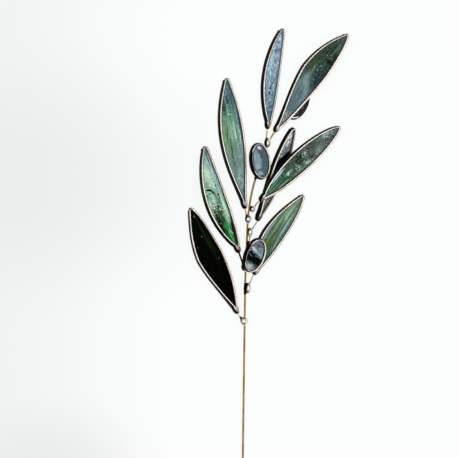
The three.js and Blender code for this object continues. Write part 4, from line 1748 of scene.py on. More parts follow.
@dataclass
class Studio:
    """Floor, light and camera. The camera looks straight down on the branch. On the floor's left lie faint
    painted shadows, each given as its middle, its half widths in metres and its depth.

    Attributes:
        view_middle: What the camera looks at, in the layout.
        view_width: Width in mm of what the picture shows, at the branch's height.
        distance: From the camera to the branch, in mm.
        floor_size: Width of the floor, in metres.
        floor_colour: Colour of the floor in sRGB hex.
        painted_shade_left: Its colour at the left, darker as painted shade, and painted_shadow_colour that of the
            faint painted
        shadows.
        left_reach: From where to where the floor turns to painted_shade_left, in metres.
        floor_return: Share of the light on the floor that it sends back.
        floor_glow: How strongly it glows, so that it stays pale.
        room_colour: Colour of the even light from all sides.
        room_strength: Strength of that light.
    """

    view_middle: Point = (-11.2, 238.7, 8.0)
    view_width: float = 320.6
    distance: float = 1200.0
    floor_size: float = 12.0
    floor_colour: str = "fcfdfd"
    painted_shade_left: str = "f1f3f2"
    painted_shadow_colour: str = "d3d7d5"
    left_reach: tuple[float, float] = (-0.2, -0.05)
    floor_return: float = 0.07
    floor_glow: float = 0.915
    room_colour: str = "e9eef2"
    room_strength: float = 0.12

    LIGHTS = (
        SoftLight(Facing.ABOVE, (0.0, 0.0, 1.6), (2.0, 2.0), 1.65, mirrored=False),
        SoftLight(Facing.HIGH_RIGHT, (0.56, 0.0, 1.6), (2.0, 0.85), 2.4),
        SoftLight(Facing.LOW_RIGHT, (1.87, -0.5, 0.52), (4.6, 0.9), 1.4, "ffece3"),
        SoftLight(Facing.LEFT, (-1.0, 0.0, 1.5), (2.0, 1.4), 1.5, "f6f8fa"),
    )

    PAINTED_SHADOWS = (
        ((-0.15, 0.085), (0.16, 0.11), 0.26),
        ((-0.15, -0.12), (0.09, 0.06), 0.3),
    )

    def build(self, layout: Layout) -> None:
        """Sets up floor, light, camera and the way light is shown.

        Args:
            layout: The branch's own layout.
        """
        middle = layout.place(self.view_middle)
        self._lay_floor()
        for light in self.LIGHTS:
            light.hang(middle)
        self._fill_room()
        self._place_camera(middle)
        view = bpy.context.scene.view_settings
        view.view_transform = "Standard"
        view.look = "None"

    def _lay_floor(self) -> None:
        """Lays a white floor that glows a little, so that it stays pale under soft light, with painted shade
        towards its left and painted shadows there.
        """
        work = bmesh.new()
        bmesh.ops.create_grid(work, x_segments=1, y_segments=1, size=self.floor_size / 2)
        mesh = bpy.data.meshes.new("floor")
        work.to_mesh(mesh)
        work.free()
        floor = new_piece("floor", mesh)
        material, tree, place = new_material("white_wall_paint")
        across = add(tree, Kind.EASE, (add(tree, Kind.SPLIT, (place,), "X"), *self.left_reach, 1.0, 0.0))
        colour = add(tree, Kind.MIX, (across, linear(self.floor_colour), linear(self.painted_shade_left)))
        for spot, size, depth in self.PAINTED_SHADOWS:
            reach = add(tree, Kind.MAPPING, (place, (*spot, 0.0), (0.0,) * 3, (*size, 1.0)))
            distance = add(tree, Kind.VECTOR, (reach,), "Value", operation="LENGTH")
            shade = add(tree, Kind.EASE, (distance, 0.1, 1.0, depth, 0.0))
            colour = add(tree, Kind.MIX, (shade, colour, linear(self.painted_shadow_colour)))
        diffuse = add(tree, Kind.DIFFUSE, (add(tree, Kind.MIX, (self.floor_return, (0.0, 0.0, 0.0, 1.0), colour)),))
        glow = add(tree, Kind.GLOW, (colour, self.floor_glow))
        add(tree, Kind.FINISH, (add(tree, Kind.BOTH, (diffuse, glow)),))
        mesh.materials.append(material)

    def _fill_room(self) -> None:
        """Fills the room with even light from all sides."""
        world = bpy.data.worlds.new("room")
        bpy.context.scene.world = world
        world.use_nodes = True
        world.node_tree.nodes.clear()
        light = add(world.node_tree, Kind.ROOM, (linear(self.room_colour), self.room_strength))
        add(world.node_tree, Kind.ROOM_FINISH, (light,))

    def _place_camera(self, middle: Vector) -> None:
        """Places the camera above the middle of the view.

        Args:
            middle: What it looks at.
        """
        data = bpy.data.cameras.new("camera")
        data.lens = data.sensor_width * self.distance / self.view_width
        data.clip_end = 20.0
        camera = bpy.data.objects.new("camera", data)
        bpy.context.scene.collection.objects.link(camera)
        camera.location = middle + Vector((0, 0, self.distance * MM))
        bpy.context.scene.camera = camera

BLACK = StreakyGlass(
    "glass_black", ((0, "010100"), (0.6, "020300"), (1, "040602")), "0c1107", "010100", 0.2, 0.6, mottle=0.05,
    clear=0, speck="6c7a78", specks=0, seed=3, edge="030403", gloss=0.1, wisps=(
        Wisp("18230d", (1, 62), (0.9, 17), 1, 0.7, 0.6, 1.2, 9),
        Wisp("0f170a", (2.6, 50), (1.2, 14), -3, 0.7, 0.6, 1.6, 9),
        Over("7d8c88", (-1.2, 59.2), (0.42, 0.42), 0, 0.7, 0.3, 0.5),
        Over("5a6866", (-7.2, 53.2), (0.4, 0.4), 0, 0.8, 0.2, 0.5),
        Over("566465", (-7.6, 58), (0.35, 0.35), 0, 0.7, 0.2, 0.5),
        Over("4c5c62", (3.8, 40.6), (0.35, 0.8), 0, 0.7, 0.3, 0.5),
        Over("58666a", (6.5, 36.6), (0.4, 0.6), 0, 0.7, 0.3, 0.5),
        Over("7d8c8a", (-0.1, 74.2), (0.3, 1), 4, 0.7, 0.4, 0.6)))

# Painted sheen: the blue-grey towards this pane's tip stands for the window that it reflects. The black band inside
# its lower right edge is painted shade.
MINT = StreakyGlass(
    "glass_mint", ((0.05, "154a22"), (0.12, "185a2a"), (0.2, "317a44"), (0.28, "4a8a5a"), (0.36, "7fac8e"), (0.52,
    "8fb8a0"), (0.66, "9abea8"), (0.78, "a0c0b0"), (0.86, "87a8a6"), (0.93, "64828a"), (1, "465f68")), "c4dece",
    "315a44", 0.55, 0.6, mottle=0.45, clear=0.08, speck="cfe2d8", seed=7, edge="1c4038", wisps=(
        Wisp("bdd6b4", (-4.8, 58), (2, 6.5), 4, 0.8, 0.8, 1.6, 2),
        Wisp("76988c", (-8.2, 52), (1.8, 4), 8, 0.8, 0.9, 1.3, 1.4),
        Wisp("6b93a6", (1.2, 57), (1.3, 14), -3, 0.9, 0.5, 1.2, 5),
        Wisp("6c9a92", (1.9, 38), (1.2, 10), 2, 0.85, 0.6, 1.2, 4),
        Wisp("4c7458", (-3.6, 40), (1.6, 8), 3, 0.85, 0.8, 1.1, 1.6),
        Wisp("10240f", (-6.6, 21), (2.9, 11), 8, 1, 0.7, 1.6, 1.5),
        Over("c2dece", (-0.1, 34), (0.8, 10), 4, 0.95, 0.8, 0.9, 4),
        Over("385664", (-0.7, 69), (0.5, 5.5), 2, 0.95, 0.6, 0.7, 4),
        Over("31506a", (1.1, 67), (0.4, 7), -3, 0.9, 0.6, 0.7, 4),
        Over("9cc0ba", (-2.1, 68), (0.5, 4), 4, 0.7, 0.6, 0.7, 4),
        Over("1f4429", (-1.5, 50), (0.75, 13), 2, 1, 0.9, 1, 1.4, 0.5, 0.6, 0.6),
        Over("1c4024", (-1.9, 40), (0.7, 8), 2, 1, 0.9, 1, 1.4, 0.5, 0.6, 0.6),
        Over("e2f2e4", (-2.8, 50), (0.7, 10), 3, 0.9, 1, 0.8, 1.8, 0.5, 0.5, 0.4),
        Over("2f5a40", (-8.3, 41), (1.6, 4), 6, 0.9, 0.8, 1, 1.3, 0.5, 0.42, 1.2),
        Over("020602", (-7.3, 47.6), (2.2, 0.9), -12, 1, 0.4, 1, 1, 0.3),
        Over("040a04", (-5.3, 45.8), (0.8, 2), 24, 1, 0.4, 1, 1, 0.3),
        Over("3c6650", (-7.6, 45), (1.3, 0.7), -10, 0.9, 0.5, 0.8, 1),
        Over("2a4a36", (-9.9, 43.5), (0.5, 1.8), 4, 0.9, 0.6, 0.8, 1),
        Over("c8e4d4", (-7.4, 35.5), (3, 5.6), 12, 0.8, 0.6, 1.4, 1),
        Over("061204", (-6.6, 33), (3.8, 6.6), 12, 1, 0.5, 2.2, 1, 0.4, 0.6, 2.4),
        Over("0c1f08", (-5, 34.8), (2.1, 1.2), -14, 1, 0.5, 0.9, 1, 0.3),
        Over("0a1c08", (-5.4, 29.5), (3.2, 6), 14, 1, 0.5, 1.2, 1, 0.3, 0.58, 2),
        Over("d4ecde", (-5.8, 31), (2.6, 6), 12, 1, 0.6, 0.8, 1.2, 0.3, 0.3, 1.6),
        Over("1d5210", (-4, 27), (0.9, 6.5), 14, 0.95, 0.8, 0.9, 2),
        Over("0a180a", (-6.6, 21.5), (2.1, 8.5), 9, 0.9, 0.8, 1.2, 1.5),
        Over("020602", (-6.9, 22.5), (2.8, 9.5), 9, 1, 0.5, 1.6, 1.3, 0.5, 0.85, 1.2),
        Over("9cc8ae", (-7, 25), (1.8, 7), 9, 1, 0.7, 1.1, 1.2, 0.5, 0.2, 0.8),
        Over("23431a", (-3.3, 24), (1, 8), 13, 1, 0.8, 1, 3),
        Over("23431a", (-0.6, 18), (0.5, 6), 13, 0.9, 0.8, 0.8, 3),
        Over("128a3c", (-3, 14), (1.5, 9), 10, 0.95, 0.8, 1.1, 3),
        Over("62b87a", (-1.5, 18), (0.5, 6), 10, 0.8, 0.8, 0.8, 3),
        Over("0c3212", (-3.4, 13.5), (0.6, 6.5), 12, 1, 0.9, 0.8, 2),
        Over("0f4a1c", (-1.7, 11.5), (0.4, 5.5), 9, 0.9, 0.9, 0.7, 2.4),
        Over("7ed29a", (-2.4, 13), (0.3, 5), 10, 0.8, 0.8, 0.7, 3),
        Over("030903", (1.3, 16), (1.4, 14), -5, 1, 0.5, 1, 2, 0.3),
        Over("0a140b", (2.6, 30), (1, 14), 0, 0.9, 0.7, 1, 2, 0.4)))

# The pale blue along this pane's right side is painted highlight, and the dark blue band at its right edge is
# painted shade.
SAGE = StreakyGlass(
    "glass_sage", ((0, "566a6e"), (0.1, "58727c"), (0.17, "748f92"), (0.24, "7b9694"), (0.31, "6b8480"), (0.45,
    "668571"), (0.57, "71947d"), (0.65, "6b907a"), (0.71, "57806c"), (0.77, "4a6b66"), (0.83, "405d5f"), (0.9,
    "4c6872"), (1, "3d5964")), "a8cabc", "375242", 0.5, 0.6, streak=1.1, mottle=0.36, clear=0.06, speck="cfe0da",
    seed=12, edge="1b3d48", edge_shade_width=(1.4, 0.5), wisps=(
        Wisp("8abc9c", (0.2, 56), (1.5, 9), 2, 0.75, 0.8, 1.2, 3),
        Wisp("5f7d48", (-6.3, 51), (1.6, 9), -4, 0.75, 0.8, 1.2, 3),
        Wisp("527480", (3.2, 60), (1, 22), 3, 0.75, 0.7, 1, 4),
        Wisp("86969a", (1.6, 38), (1.3, 7), 2, 0.7, 0.9, 1.2, 1.4),
        Wisp("425a6c", (0.8, 82), (1.2, 6), 4, 0.7, 0.7, 1, 2),
        Wisp("223f36", (-5.6, 72), (1.9, 6), -6, 1, 0.8, 1.4, 1.8),
        Wisp("5d776c", (-4.2, 22), (1.4, 9), 2, 0.8, 0.8, 1.1, 1.6),
        Wisp("4c6880", (0.4, 13), (1.4, 5), 4, 0.8, 0.8, 1.1, 1.6),
        Over("25393a", (-2.2, 77), (0.9, 3.6), 0, 1, 0.8, 0.9, 1.4),
        Over("33505e", (1.4, 79), (0.6, 5), 2, 0.8, 0.8, 0.8, 2),
        Over("90aebb", (3.7, 73), (0.45, 5), 6, 0.8, 0.8, 0.7, 2),
        Over("36532c", (-5.5, 53), (0.5, 6), -7, 0.95, 0.9, 0.9, 3),
        Over("3a5438", (-3.9, 40), (0.6, 12), 1, 0.95, 0.9, 0.9, 3),
        Over("9cc6ae", (-2.4, 54), (0.4, 8), 0, 0.7, 0.9, 0.8, 3),
        Over("8fb09c", (-6.9, 42), (0.4, 9), 0, 0.6, 0.9, 0.8, 3),
        Over("3f6258", (1.6, 52), (0.4, 14), 4, 0.7, 0.9, 0.8, 3),
        Over("e8f6f0", (-2.5, 67), (0.45, 0.6), 0, 1, 0.4, 0.5, 1),
        Over("d0e8e0", (0.4, 53), (0.6, 9), 5, 0.8, 1, 0.7, 3, 0.5, 0.55, 0.6),
        Over("d6ecee", (3.9, 50), (0.5, 11), 3, 1, 1, 0.8, 1.7, 0.5, 0.48, 0.6),
        Over("143a54", (5.2, 50), (0.7, 26), 3, 0.95, 0.5, 1, 5),
        Over("b0bcc8", (-0.4, 20), (2.4, 7), 4, 0.7, 0.8, 1.3, 1.8, 0.5, 0.42, 0.5),
        Over("466068", (-1, 25), (2.9, 10), 4, 0.7, 0.8, 1.2, 2.4, 0.5, 0.4, 0.5),
        Over("345264", (0.4, 12), (0.7, 3.4), 0, 0.85, 0.8, 0.8, 1)))

# Painted sheen: most of this pane's pale steel blue stands for the window that it reflects, over the glass's own
# colour.
SKY = StreakyGlass(
    "glass_sky", ((0, "56656f"), (0.1, "647885"), (0.25, "708793"), (0.36, "78919f"), (0.5, "88a2b2"), (0.66,
    "90a7b7"), (0.78, "8297a6"), (0.86, "8da4b3"), (0.94, "74868f"), (1, "4f626e")), "c2d8e2", "3f586a", 0.5, 0.5,
    streak_length=7, mottle=0.65, speck="2a3d4a", specks=0.4, seed=18, edge="2c6488", edge_shade_width=(1.2, 0.6), wisps=(
        Wisp("b4c7d5", (-1.2, 64), (1.5, 2.6), 0, 0.8, 0.9, 1, 1),
        Wisp("959fba", (-1.2, 50), (1.8, 9), 0, 0.75, 0.8, 1.3, 2),
        Wisp("abc2d0", (-5.4, 50), (1, 12), -5, 0.8, 0.7, 1, 2.5),
        Wisp("a9c9d3", (-4.4, 43), (1.3, 6), 3, 0.8, 0.8, 1, 1.8),
        Wisp("7f9d94", (0.9, 25), (0.8, 4), 0, 0.8, 0.8, 0.8, 1.6),
        Over("4a6474", (-1.8, 61.2), (1, 1.1), 0, 0.85, 0.9, 0.8, 1),
        Over("46626f", (-2.8, 54.8), (1.1, 2.6), -6, 0.9, 1, 0.9, 1),
        Over("4c6678", (-0.2, 55.5), (0.8, 2.2), -6, 0.7, 1, 0.9, 1),
        Over("465f70", (-2.2, 48), (0.7, 1.1), 0, 0.9, 0.8, 0.7, 1),
        Over("446882", (0.3, 38), (0.7, 4), 0, 0.85, 0.9, 0.8, 1.4),
        Over("365462", (-1, 33.2), (1.3, 2.5), -16, 0.95, 0.9, 0.8, 1),
        Over("2c4858", (-0.8, 20), (2, 14), 2, 0.8, 0.6, 1.1, 1.5, 0.5, 0.4, 0.8),
        Over("d2e4ec", (-2.8, 42), (2.6, 26), 3, 0.75, 0.5, 1.1, 1.8, 0.5, 0.36, 0.8),
        Over("4a6678", (-3, 46), (2.6, 22), 3, 0.7, 0.5, 1.1, 1.6, 0.5, 0.36, 0.8),
        Over("020304", (-2.9, 28.1), (0.75, 1.1), 0, 1, 0.3, 0.6, 1),
        Over("1b2833", (-2.4, 30.2), (0.4, 1), -10, 1, 0.4, 0.6, 1),
        Over("32505c", (-3.1, 24.6), (0.9, 1.9), 0, 0.9, 1, 0.7, 1),
        Over("14181c", (1, 7.5), (0.9, 4), -4, 1, 0.6, 0.8, 1.5)))

FOREST = StreakyGlass(
    "glass_forest", ((0.08, "788486"), (0.17, "717e82"), (0.23, "55666f"), (0.38, "536670"), (0.47, "47595c"),
    (0.56, "364842"), (0.66, "2c3c31"), (0.8, "2b3a2d"), (0.9, "374839"), (1, "4c5d53")), "6c877e", "121c16", 0.3,
    0.5, mottle=0.35, speck="9fb4b2", specks=0.15, gloss=0.3, seed=23, edge="122c36", wisps=(
        Wisp("182a31", (2.4, 48), (3.6, 10.5), 6, 0.95, 0.6, 2, 1.6),
        Wisp("35422a", (-7.6, 54), (2.4, 8), 4, 0.7, 0.8, 2, 2),
        Wisp("607b6a", (-5.2, 50), (0.8, 6), 4, 0.75, 0.8, 1, 3),
        Wisp("627a7b", (-6.2, 33), (3.2, 9), 12, 0.85, 0.8, 1.8, 1.6),
        Wisp("647f84", (1.2, 29), (1.6, 5), -8, 0.8, 0.8, 1.2, 1.4),
        Wisp("485c53", (0.8, 73), (1.3, 5), 0, 0.7, 0.8, 1.2, 1.6),
        Wisp("7f9b9c", (-5.2, 43), (2.8, 5), 18, 0.75, 0.5, 2.2, 1.4, 1),
        Wisp("7e9a9b", (-2.6, 39), (2.8, 5), 38, 0.75, 0.5, 2, 1.3, 1),
        Wisp("789499", (0.3, 34.6), (2, 4), 30, 0.65, 0.6, 1.6, 1.3, 1),
        Over("0c160e", (1, 61.8), (2.8, 1.7), 4, 1, 0.9, 0.9, 1),
        Over("0c180f", (4.4, 63.5), (1.6, 5.5), 12, 1, 0.9, 1, 1),
        Over("0f1a12", (4.6, 54), (0.8, 6), 4, 0.8, 0.9, 1, 2),
        Over("152018", (-1.7, 72), (0.5, 6), -4, 0.95, 0.9, 0.8, 2),
        Over("152018", (1.6, 68.2), (0.9, 2.8), 10, 0.9, 0.9, 0.8, 1),
        Over("1f2c20", (-4.4, 66), (2.8, 8), 0, 0.8, 0.8, 1.2, 1.4, 0.5, 0.45, 0.8),
        Over("93a59c", (-2.8, 64.6), (0.4, 0.4), 0, 0.8, 0.4, 0.5, 1),
        Over("85998f", (-0.5, 66.2), (0.45, 0.4), 0, 0.8, 0.4, 0.5, 1),
        Over("7d9188", (0.5, 64.3), (0.4, 0.35), 0, 0.8, 0.4, 0.5, 1),
        Over("b8cac6", (-1.8, 56.2), (0.4, 0.5), 0, 0.9, 0.4, 0.5, 1),
        Over("acc2c0", (-2.1, 52.4), (0.4, 0.5), 0, 0.9, 0.4, 0.5, 1),
        Over("647b79", (0.2, 54.3), (0.35, 0.35), 0, 0.9, 0.4, 0.5, 1),
        Over("93acb0", (-0.3, 45.3), (0.4, 0.4), 0, 0.9, 0.4, 0.5, 1),
        Over("bcc4c4", (-2, 10.5), (2.6, 7.5), 4, 0.9, 0.4, 0.9, 1.3, 0.5, 0.42, 0.6),
        Over("46575b", (-1.8, 12), (2.8, 8), 4, 0.8, 0.4, 1, 1.3, 0.5, 0.42, 0.6)))

# The pale grey cloud near this pane's tip is painted sheen.
MOSS = StreakyGlass(
    "glass_moss", ((0, "415848"), (0.13, "365540"), (0.3, "304c3a"), (0.4, "354939"), (0.5, "38453a"), (0.62,
    "434c45"), (0.75, "505752"), (0.86, "545f61"), (1, "4b585a")), "7f9c8c", "131c13", 0.4, 0.6, mottle=0.5,
    speck="9fb4aa", seed=29, edge="0f2a2c", wisps=(
        Wisp("182016", (-2.9, 39.5), (2.6, 5), 10, 0.95, 0.9, 1.4, 1.2),
        Wisp("202a21", (2.2, 47.8), (2, 2.4), 0, 0.9, 1, 1.2, 1.2),
        Wisp("2f3931", (-3.8, 53), (1.9, 5), 0, 0.7, 1, 1.3, 1.4),
        Wisp("6f7b78", (1, 57), (2.4, 5), 0, 0.6, 1, 1.3, 1.4),
        Wisp("5b7a62", (3.4, 34), (1.2, 7), -4, 0.6, 1, 1, 1.6),
        Over("9ec2cf", (-4.6, 20.5), (0.9, 7), 9, 1, 0.3, 1, 4, 0.3),
        Over("b4c4c8", (-2.4, 66.5), (2.4, 6), -10, 0.95, 0.6, 0.7, 1.2, 0.5, 0.5, 1),
        Over("2c383c", (0.4, 65), (3.8, 8), 0, 0.9, 0.5, 1.4, 1.2, 0.5, 0.45, 0.8),
        Over("a3b9ae", (-3, 45.2), (2.4, 3), 34, 1, 0.7, 0.85, 1.2, 0.5, 0.48, 1),
        Over("a8bfb5", (3.2, 43.6), (2, 4.6), -28, 1, 0.7, 0.85, 1.2, 0.5, 0.45, 1),
        Over("9fb5ad", (2.6, 53), (1.5, 3.2), 10, 0.85, 0.8, 0.6, 1.2, 0.5, 0.42, 1),
        Over("b4d0c0", (0.9, 35.4), (2.2, 2.4), -30, 1, 0.7, 0.85, 1.2, 0.5, 0.5, 1),
        Over("b0d0be", (-0.6, 28.2), (1.5, 3.6), 0, 1, 0.6, 0.85, 1.2, 0.4, 0.52, 1),
        Over("101a10", (-0.6, 40), (4, 9), 10, 0.8, 0.6, 1.4, 1.3, 0.5, 0.36, 1),
        Over("8ab898", (2.4, 20), (0.4, 6.5), -1, 0.75, 0.5, 0.8, 5),
        Over("659272", (0.2, 14), (0.35, 8), 0, 0.75, 0.5, 0.8, 5),
        Over("68967a", (-1.6, 13), (0.35, 6.5), 3, 0.8, 0.5, 0.8, 5),
        Over("1f3a28", (1.3, 18), (0.4, 9), -1, 0.85, 0.5, 0.8, 5),
        Over("1f3a28", (-0.8, 16), (0.4, 8), 1, 0.85, 0.5, 0.8, 5)))

# The cyan glints towards this pane's right are painted highlights, and the dark teal band inside its right edge is
# painted shade.
FERN = StreakyGlass(
    "glass_fern", ((0, "4a6262"), (0.2, "475f55"), (0.36, "4c6046"), (0.5, "506a53"), (0.68, "637c66"), (0.82,
    "6e846f"), (0.92, "667462"), (1, "404e3b")), "a8c6b2", "2c4a28", 0.6, 0.75, streak=1.2, streak_length=20,
    mottle=0.2, speck="cfe0d4", seed=34, edge="1b4a4e", edge_shade_width=(1.3, 0.7), wisps=(
        Wisp("8fafb4", (-8.5, 31), (0.9, 12), -2, 0.85, 0.5, 1, 8),
        Wisp("2f676b", (2.9, 33), (0.9, 22), 4, 0.85, 0.5, 1, 8),
        Wisp("84a6a2", (0.7, 42), (0.7, 9), 1, 0.7, 0.6, 0.9, 6),
        Wisp("4c6236", (-4.2, 24.5), (2.6, 5), 0, 0.85, 0.8, 1.4, 2),
        Over("3a522c", (-6.5, 37), (0.6, 14), -6, 0.8, 0.7, 0.9, 8),
        Over("9ab89e", (-4.9, 43), (0.45, 9), -5, 0.5, 0.7, 0.9, 5),
        Over("2f4c2c", (-3.2, 36), (0.8, 12), -3, 0.75, 0.8, 1.1, 4),
        Over("a8c8ba", (-1.9, 49), (0.6, 8), -2, 0.75, 0.9, 1, 4),
        Over("355542", (-0.5, 36), (0.55, 15), -1, 0.85, 0.7, 0.9, 8),
        Over("9cc0b4", (1.5, 27), (0.45, 7), 2, 0.6, 0.7, 0.9, 5),
        Over("8fc0bc", (0.6, 41), (0.4, 8), 0, 0.8, 0.7, 0.9, 5),
        Over("375230", (-8, 33), (0.4, 9), -6, 0.7, 0.7, 0.9, 8)))

# Painted sheen: this pane's pale greys stand partly for the window that it reflects, and the pale cloud near its
# tip is painted sheen. The black cloud on its right is a painted reflection of the dark rim of the upper-right
# leaf, which lies over it.
FROST = StreakyGlass(
    "glass_frost", ((0, "505b56"), (0.3, "4c5959"), (0.6, "586368"), (0.76, "606a71"), (0.86, "87949a"), (0.93,
    "757f84"), (1, "666f73")), "d4e0e5", "2e3439", 0.5, 0.5, mottle=0.7, gloss=0.15, speck="20262b", specks=0.5,
    seed=39, edge="14181b", edge_shade_width=(1.8, 0.5), wisps=(
        Wisp("54625f", (-3.2, 48), (1.6, 5), 0, 0.8, 0.7, 1.2, 1.5),
        Over("e2ecf0", (-1.6, 61.5), (2.4, 6.5), 0, 1, 0.4, 0.8, 1.3, 0.5, 0.6, 1.2),
        Over("2c3438", (-2.4, 57.5), (1.8, 5), 0, 0.9, 0.5, 1.1, 1.2, 0.5, 0.42, 1),
        Over("191d20", (-0.6, 61), (0.6, 1), 0, 1, 0.8, 0.6, 1),
        Over("0c0f11", (0.2, 67.6), (1.4, 0.8), 0, 1, 0.6, 0.6, 1),
        Over("000000", (4.1, 47.3), (4.8, 24), -33, 1, 0.08, 1.6, 1, 0.1)))

SLATE = StreakyGlass(
    "glass_slate", ((0, "45565d"), (1, "425258")), "667a84", "2f3c42", 0.35, 0.4, mottle=0.3, seed=44,
    speck="9fb0b8", edge="1d3c52", edge_shade_width=(1.2, 1.0), wisps=(
        Wisp("596e72", (-3.4, -7.5), (3.6, 4), 0, 0.95, 0.5, 1.6, 1),
        Wisp("7d959e", (-3.6, 0.4), (4.3, 8.8), 6, 1, 0.4, 1.6, 1, 0.3),
        Wisp("8fa9a8", (-4.4, 3.6), (1.3, 3.6), 0, 0.6, 0.9, 1, 1),
        Over("5f7580", (-2.6, 2.6), (1.6, 5), 0, 0.6, 0.9, 1, 1, 0.5, 0.42, 0.8),
        Over("8f96aa", (-3.4, 4.6), (0.8, 2), 0, 0.5, 0.9, 0.8, 1),
        Wisp("98aebc", (-3.2, -3.6), (2.4, 1.8), 10, 0.7, 0.9, 1, 1),
        Over("86a2ab", (-1.4, -8.8), (2.4, 1.3), 8, 0.95, 0.9, 0.8, 1),
        Over("2f4045", (0.5, 4.2), (0.6, 4), 10, 0.6, 0.7, 0.8, 1),
        Over("2c3c3f", (-2, -6.1), (2.4, 0.7), 14, 0.75, 0.8, 0.8, 1),
        Over("bcc2d2", (0, 9.2), (1.9, 1.3), -24, 1, 1, 0.8, 1)))

# Painted reflections: the black band across this olive and the pale bands above and below it stand for the dark
# room and the window that it reflects.
DUSK = StreakyGlass(
    "glass_dusk", ((0, "6a7a7e"), (0.28, "55646b"), (0.6, "4f6066"), (0.8, "526369"), (0.88, "6c7577"), (1,
    "6d7678")), "98acb6", "28343c", 0.4, 0.45, mottle=0.5, gloss=0.3, speck="b0c0c8", specks=0.1, seed=49,
    edge="10191f", edge_shade_width=(1.2, 0.8), wisps=(
        Wisp("637d8a", (2.8, 4.2), (1.8, 4), 0, 0.7, 0.8, 1.2, 1),
        Over("36454a", (0.4, 7.2), (3.6, 0.7), -6, 0.9, 0.7, 0.8, 1),
        Over("acbec8", (-2.4, 4), (3.6, 1), -27, 1, 0.6, 1, 1),
        Over("8fa5b0", (2.6, 1.4), (2.8, 0.7), -10, 0.95, 0.6, 0.9, 1),
        Over("303c41", (0.6, 0.6), (3.6, 0.8), -10, 1, 0.7, 0.9, 1),
        Over("000000", (-4.2, -1), (3.6, 3.6), -14, 1, 0.5, 1.3, 1, 0.2),
        Over("000000", (0.4, -2.8), (8, 3), -8, 1, 0.55, 1.4, 1, 0.2),
        Over("000000", (3.6, -3.6), (3.2, 2.6), 0, 1, 0.6, 1.1, 1, 0.2),
        Over("5c6c78", (-3.6, -0.6), (2.2, 0.35), -30, 0.8, 0.6, 0.7, 1),
        Over("0d1116", (0, -5.8), (5.6, 2.2), -10, 1, 0.5, 1.1, 1, 0.4, 0.55, 1.2),
        Over("a6b2b8", (-1.6, -8.4), (3, 1.8), 0, 0.8, 0.9, 0.8, 1)))

NIGHT = StreakyGlass(
    "glass_night", ((0, "030406"), (1, "020303")), "10151c", "010202", 0.3, 0.4, mottle=0.2, clear=0, gloss=0.08,
    specks=0, seed=54, edge="010202", wisps=(
        Over("4d5f78", (4.2, -1.8), (1, 1.4), 20, 0.6, 0.9, 0.8, 1),
        Over("4c5c74", (2.6, -5.4), (0.7, 2.4), 10, 0.6, 0.9, 0.8, 1),
        Over("3a4a60", (1.4, -8), (1, 1), 10, 0.8, 0.9, 0.8, 1)))

ROD = Rod(((-2.5, 0, 0.8), (-1.4, 84, 2.9), (-0.3, 168, 6.2), (0.3, 205, 7.5), (1.3, 229.6, 8),
           (2.3, 248.5, 8.2), (5.5, 267.4, 8.2), (11.2, 285.3, 8.2), (15.5, 297.4, 8.4)))

JOINTS = (
    StemJoint("lowest", (-0.6, 174.2), (4.9, 6.1, 5.0), 0.45),
    StemJoint("lower", (2.1, 197.2), (4.2, 7.2, 4.6), -0.05),
    StemJoint("left", (-0.5, 212.1), (4.2, 5.2, 4.4), -0.5),
    StemJoint("middle", (3.5, 236.6), (3.6, 5.8, 4.2), 0.1, False),
    StemJoint("upper", (2.2, 245.7), (4.3, 5.6, 4.8), 0.1),
    StemJoint("side", (5.1, 252.7), (3.6, 4.5, 4.2), 0.0, False),
    StemJoint("top", (15.7, 299.0), (4.2, 6.6, 4.8), -0.05),
)

LEAVES = (
    Leaf("lower_left", 24.7, -3.5, 23, 80.7, 18.9, BLACK, base=(-5.1, 179.7, 8), peak=0.53, fullness=1.9,
         angular=0.3, bow=1.65, bow_peak=0.6, bow_fullness=6.0, joint="lowest", end=(-1.1, 0.6, 0.3), slim=0.85,
         neck_film_and_shade=0.5),
    Leaf("middle_left", 18.4, -2, 24, 77.7, 14.8, MINT, base=(-4.3, 222.3, 9), peak=0.46, fullness=1.75, bow=4.3,
         bow_peak=0.5, joint="left", end=(-0.4, 0.6, 0.4), wire_patina=1.0, slim=0.15, neck_film_and_shade=0.8),
    Leaf("upper_left", 8.3, -4, 22, 92.2, 16.3, SAGE, base=(0, 253.1, 9), peak=0.55, fullness=2.35, bow=1.9,
         bow_peak=0.5, joint="upper", end=(-0.8, 0.6, 1.0), neck_film_and_shade=1.5),
    Leaf("top", -8.3, -4, 24, 71.2, 10.8, SKY, base=(15.7, 309, 8), peak=0.5, fullness=1.85, bow=3.1, bow_peak=0.5,
         joint="top", end=(-1.0, 0.4, 0.3)),
    Leaf("top_right", -36.6, -3, 22, 85.1, 17.8, FOREST, base=(20.5, 306.7, 12), peak=0.56, fullness=2.0,
         angular=0.05, low_angular=0.5, bow=3.1, bow_peak=0.58, bow_fullness=3.0, joint="top", end=(0.4, 0.6, 0.9),
         slim=0.35),
    Leaf("upper_right", -47, -3.5, 22, 75.9, 14.5, MOSS, base=(10.2, 258.6, 11.8), peak=0.52, fullness=1.6, bow=1.1,
         bow_peak=0.5, joint="side", end=(0.5, 0.4, 0.3), low_film=0.28, neck_film_and_shade=2.0),
    Leaf("lower_right", -31.6, -2, 22, 65.3, 14.7, FERN, base=(6.2, 206.8, 7), peak=0.47, fullness=1.75, bow=3.3,
         bow_peak=0.35, joint="lower", end=(0.5, 1.5, 0.3), slim=0.1, low_film=0.36),
    Leaf("middle_right", -21.2, 2.5, 38, 69.4, 10.7, FROST, base=(8.6, 244.6, 4.5), peak=0.55, fullness=1.95,
         bow=-1.0, bow_peak=0.33, joint="middle", end=(0.8, 0.9, -0.2), slim=0.85, low_film=0.25),
)

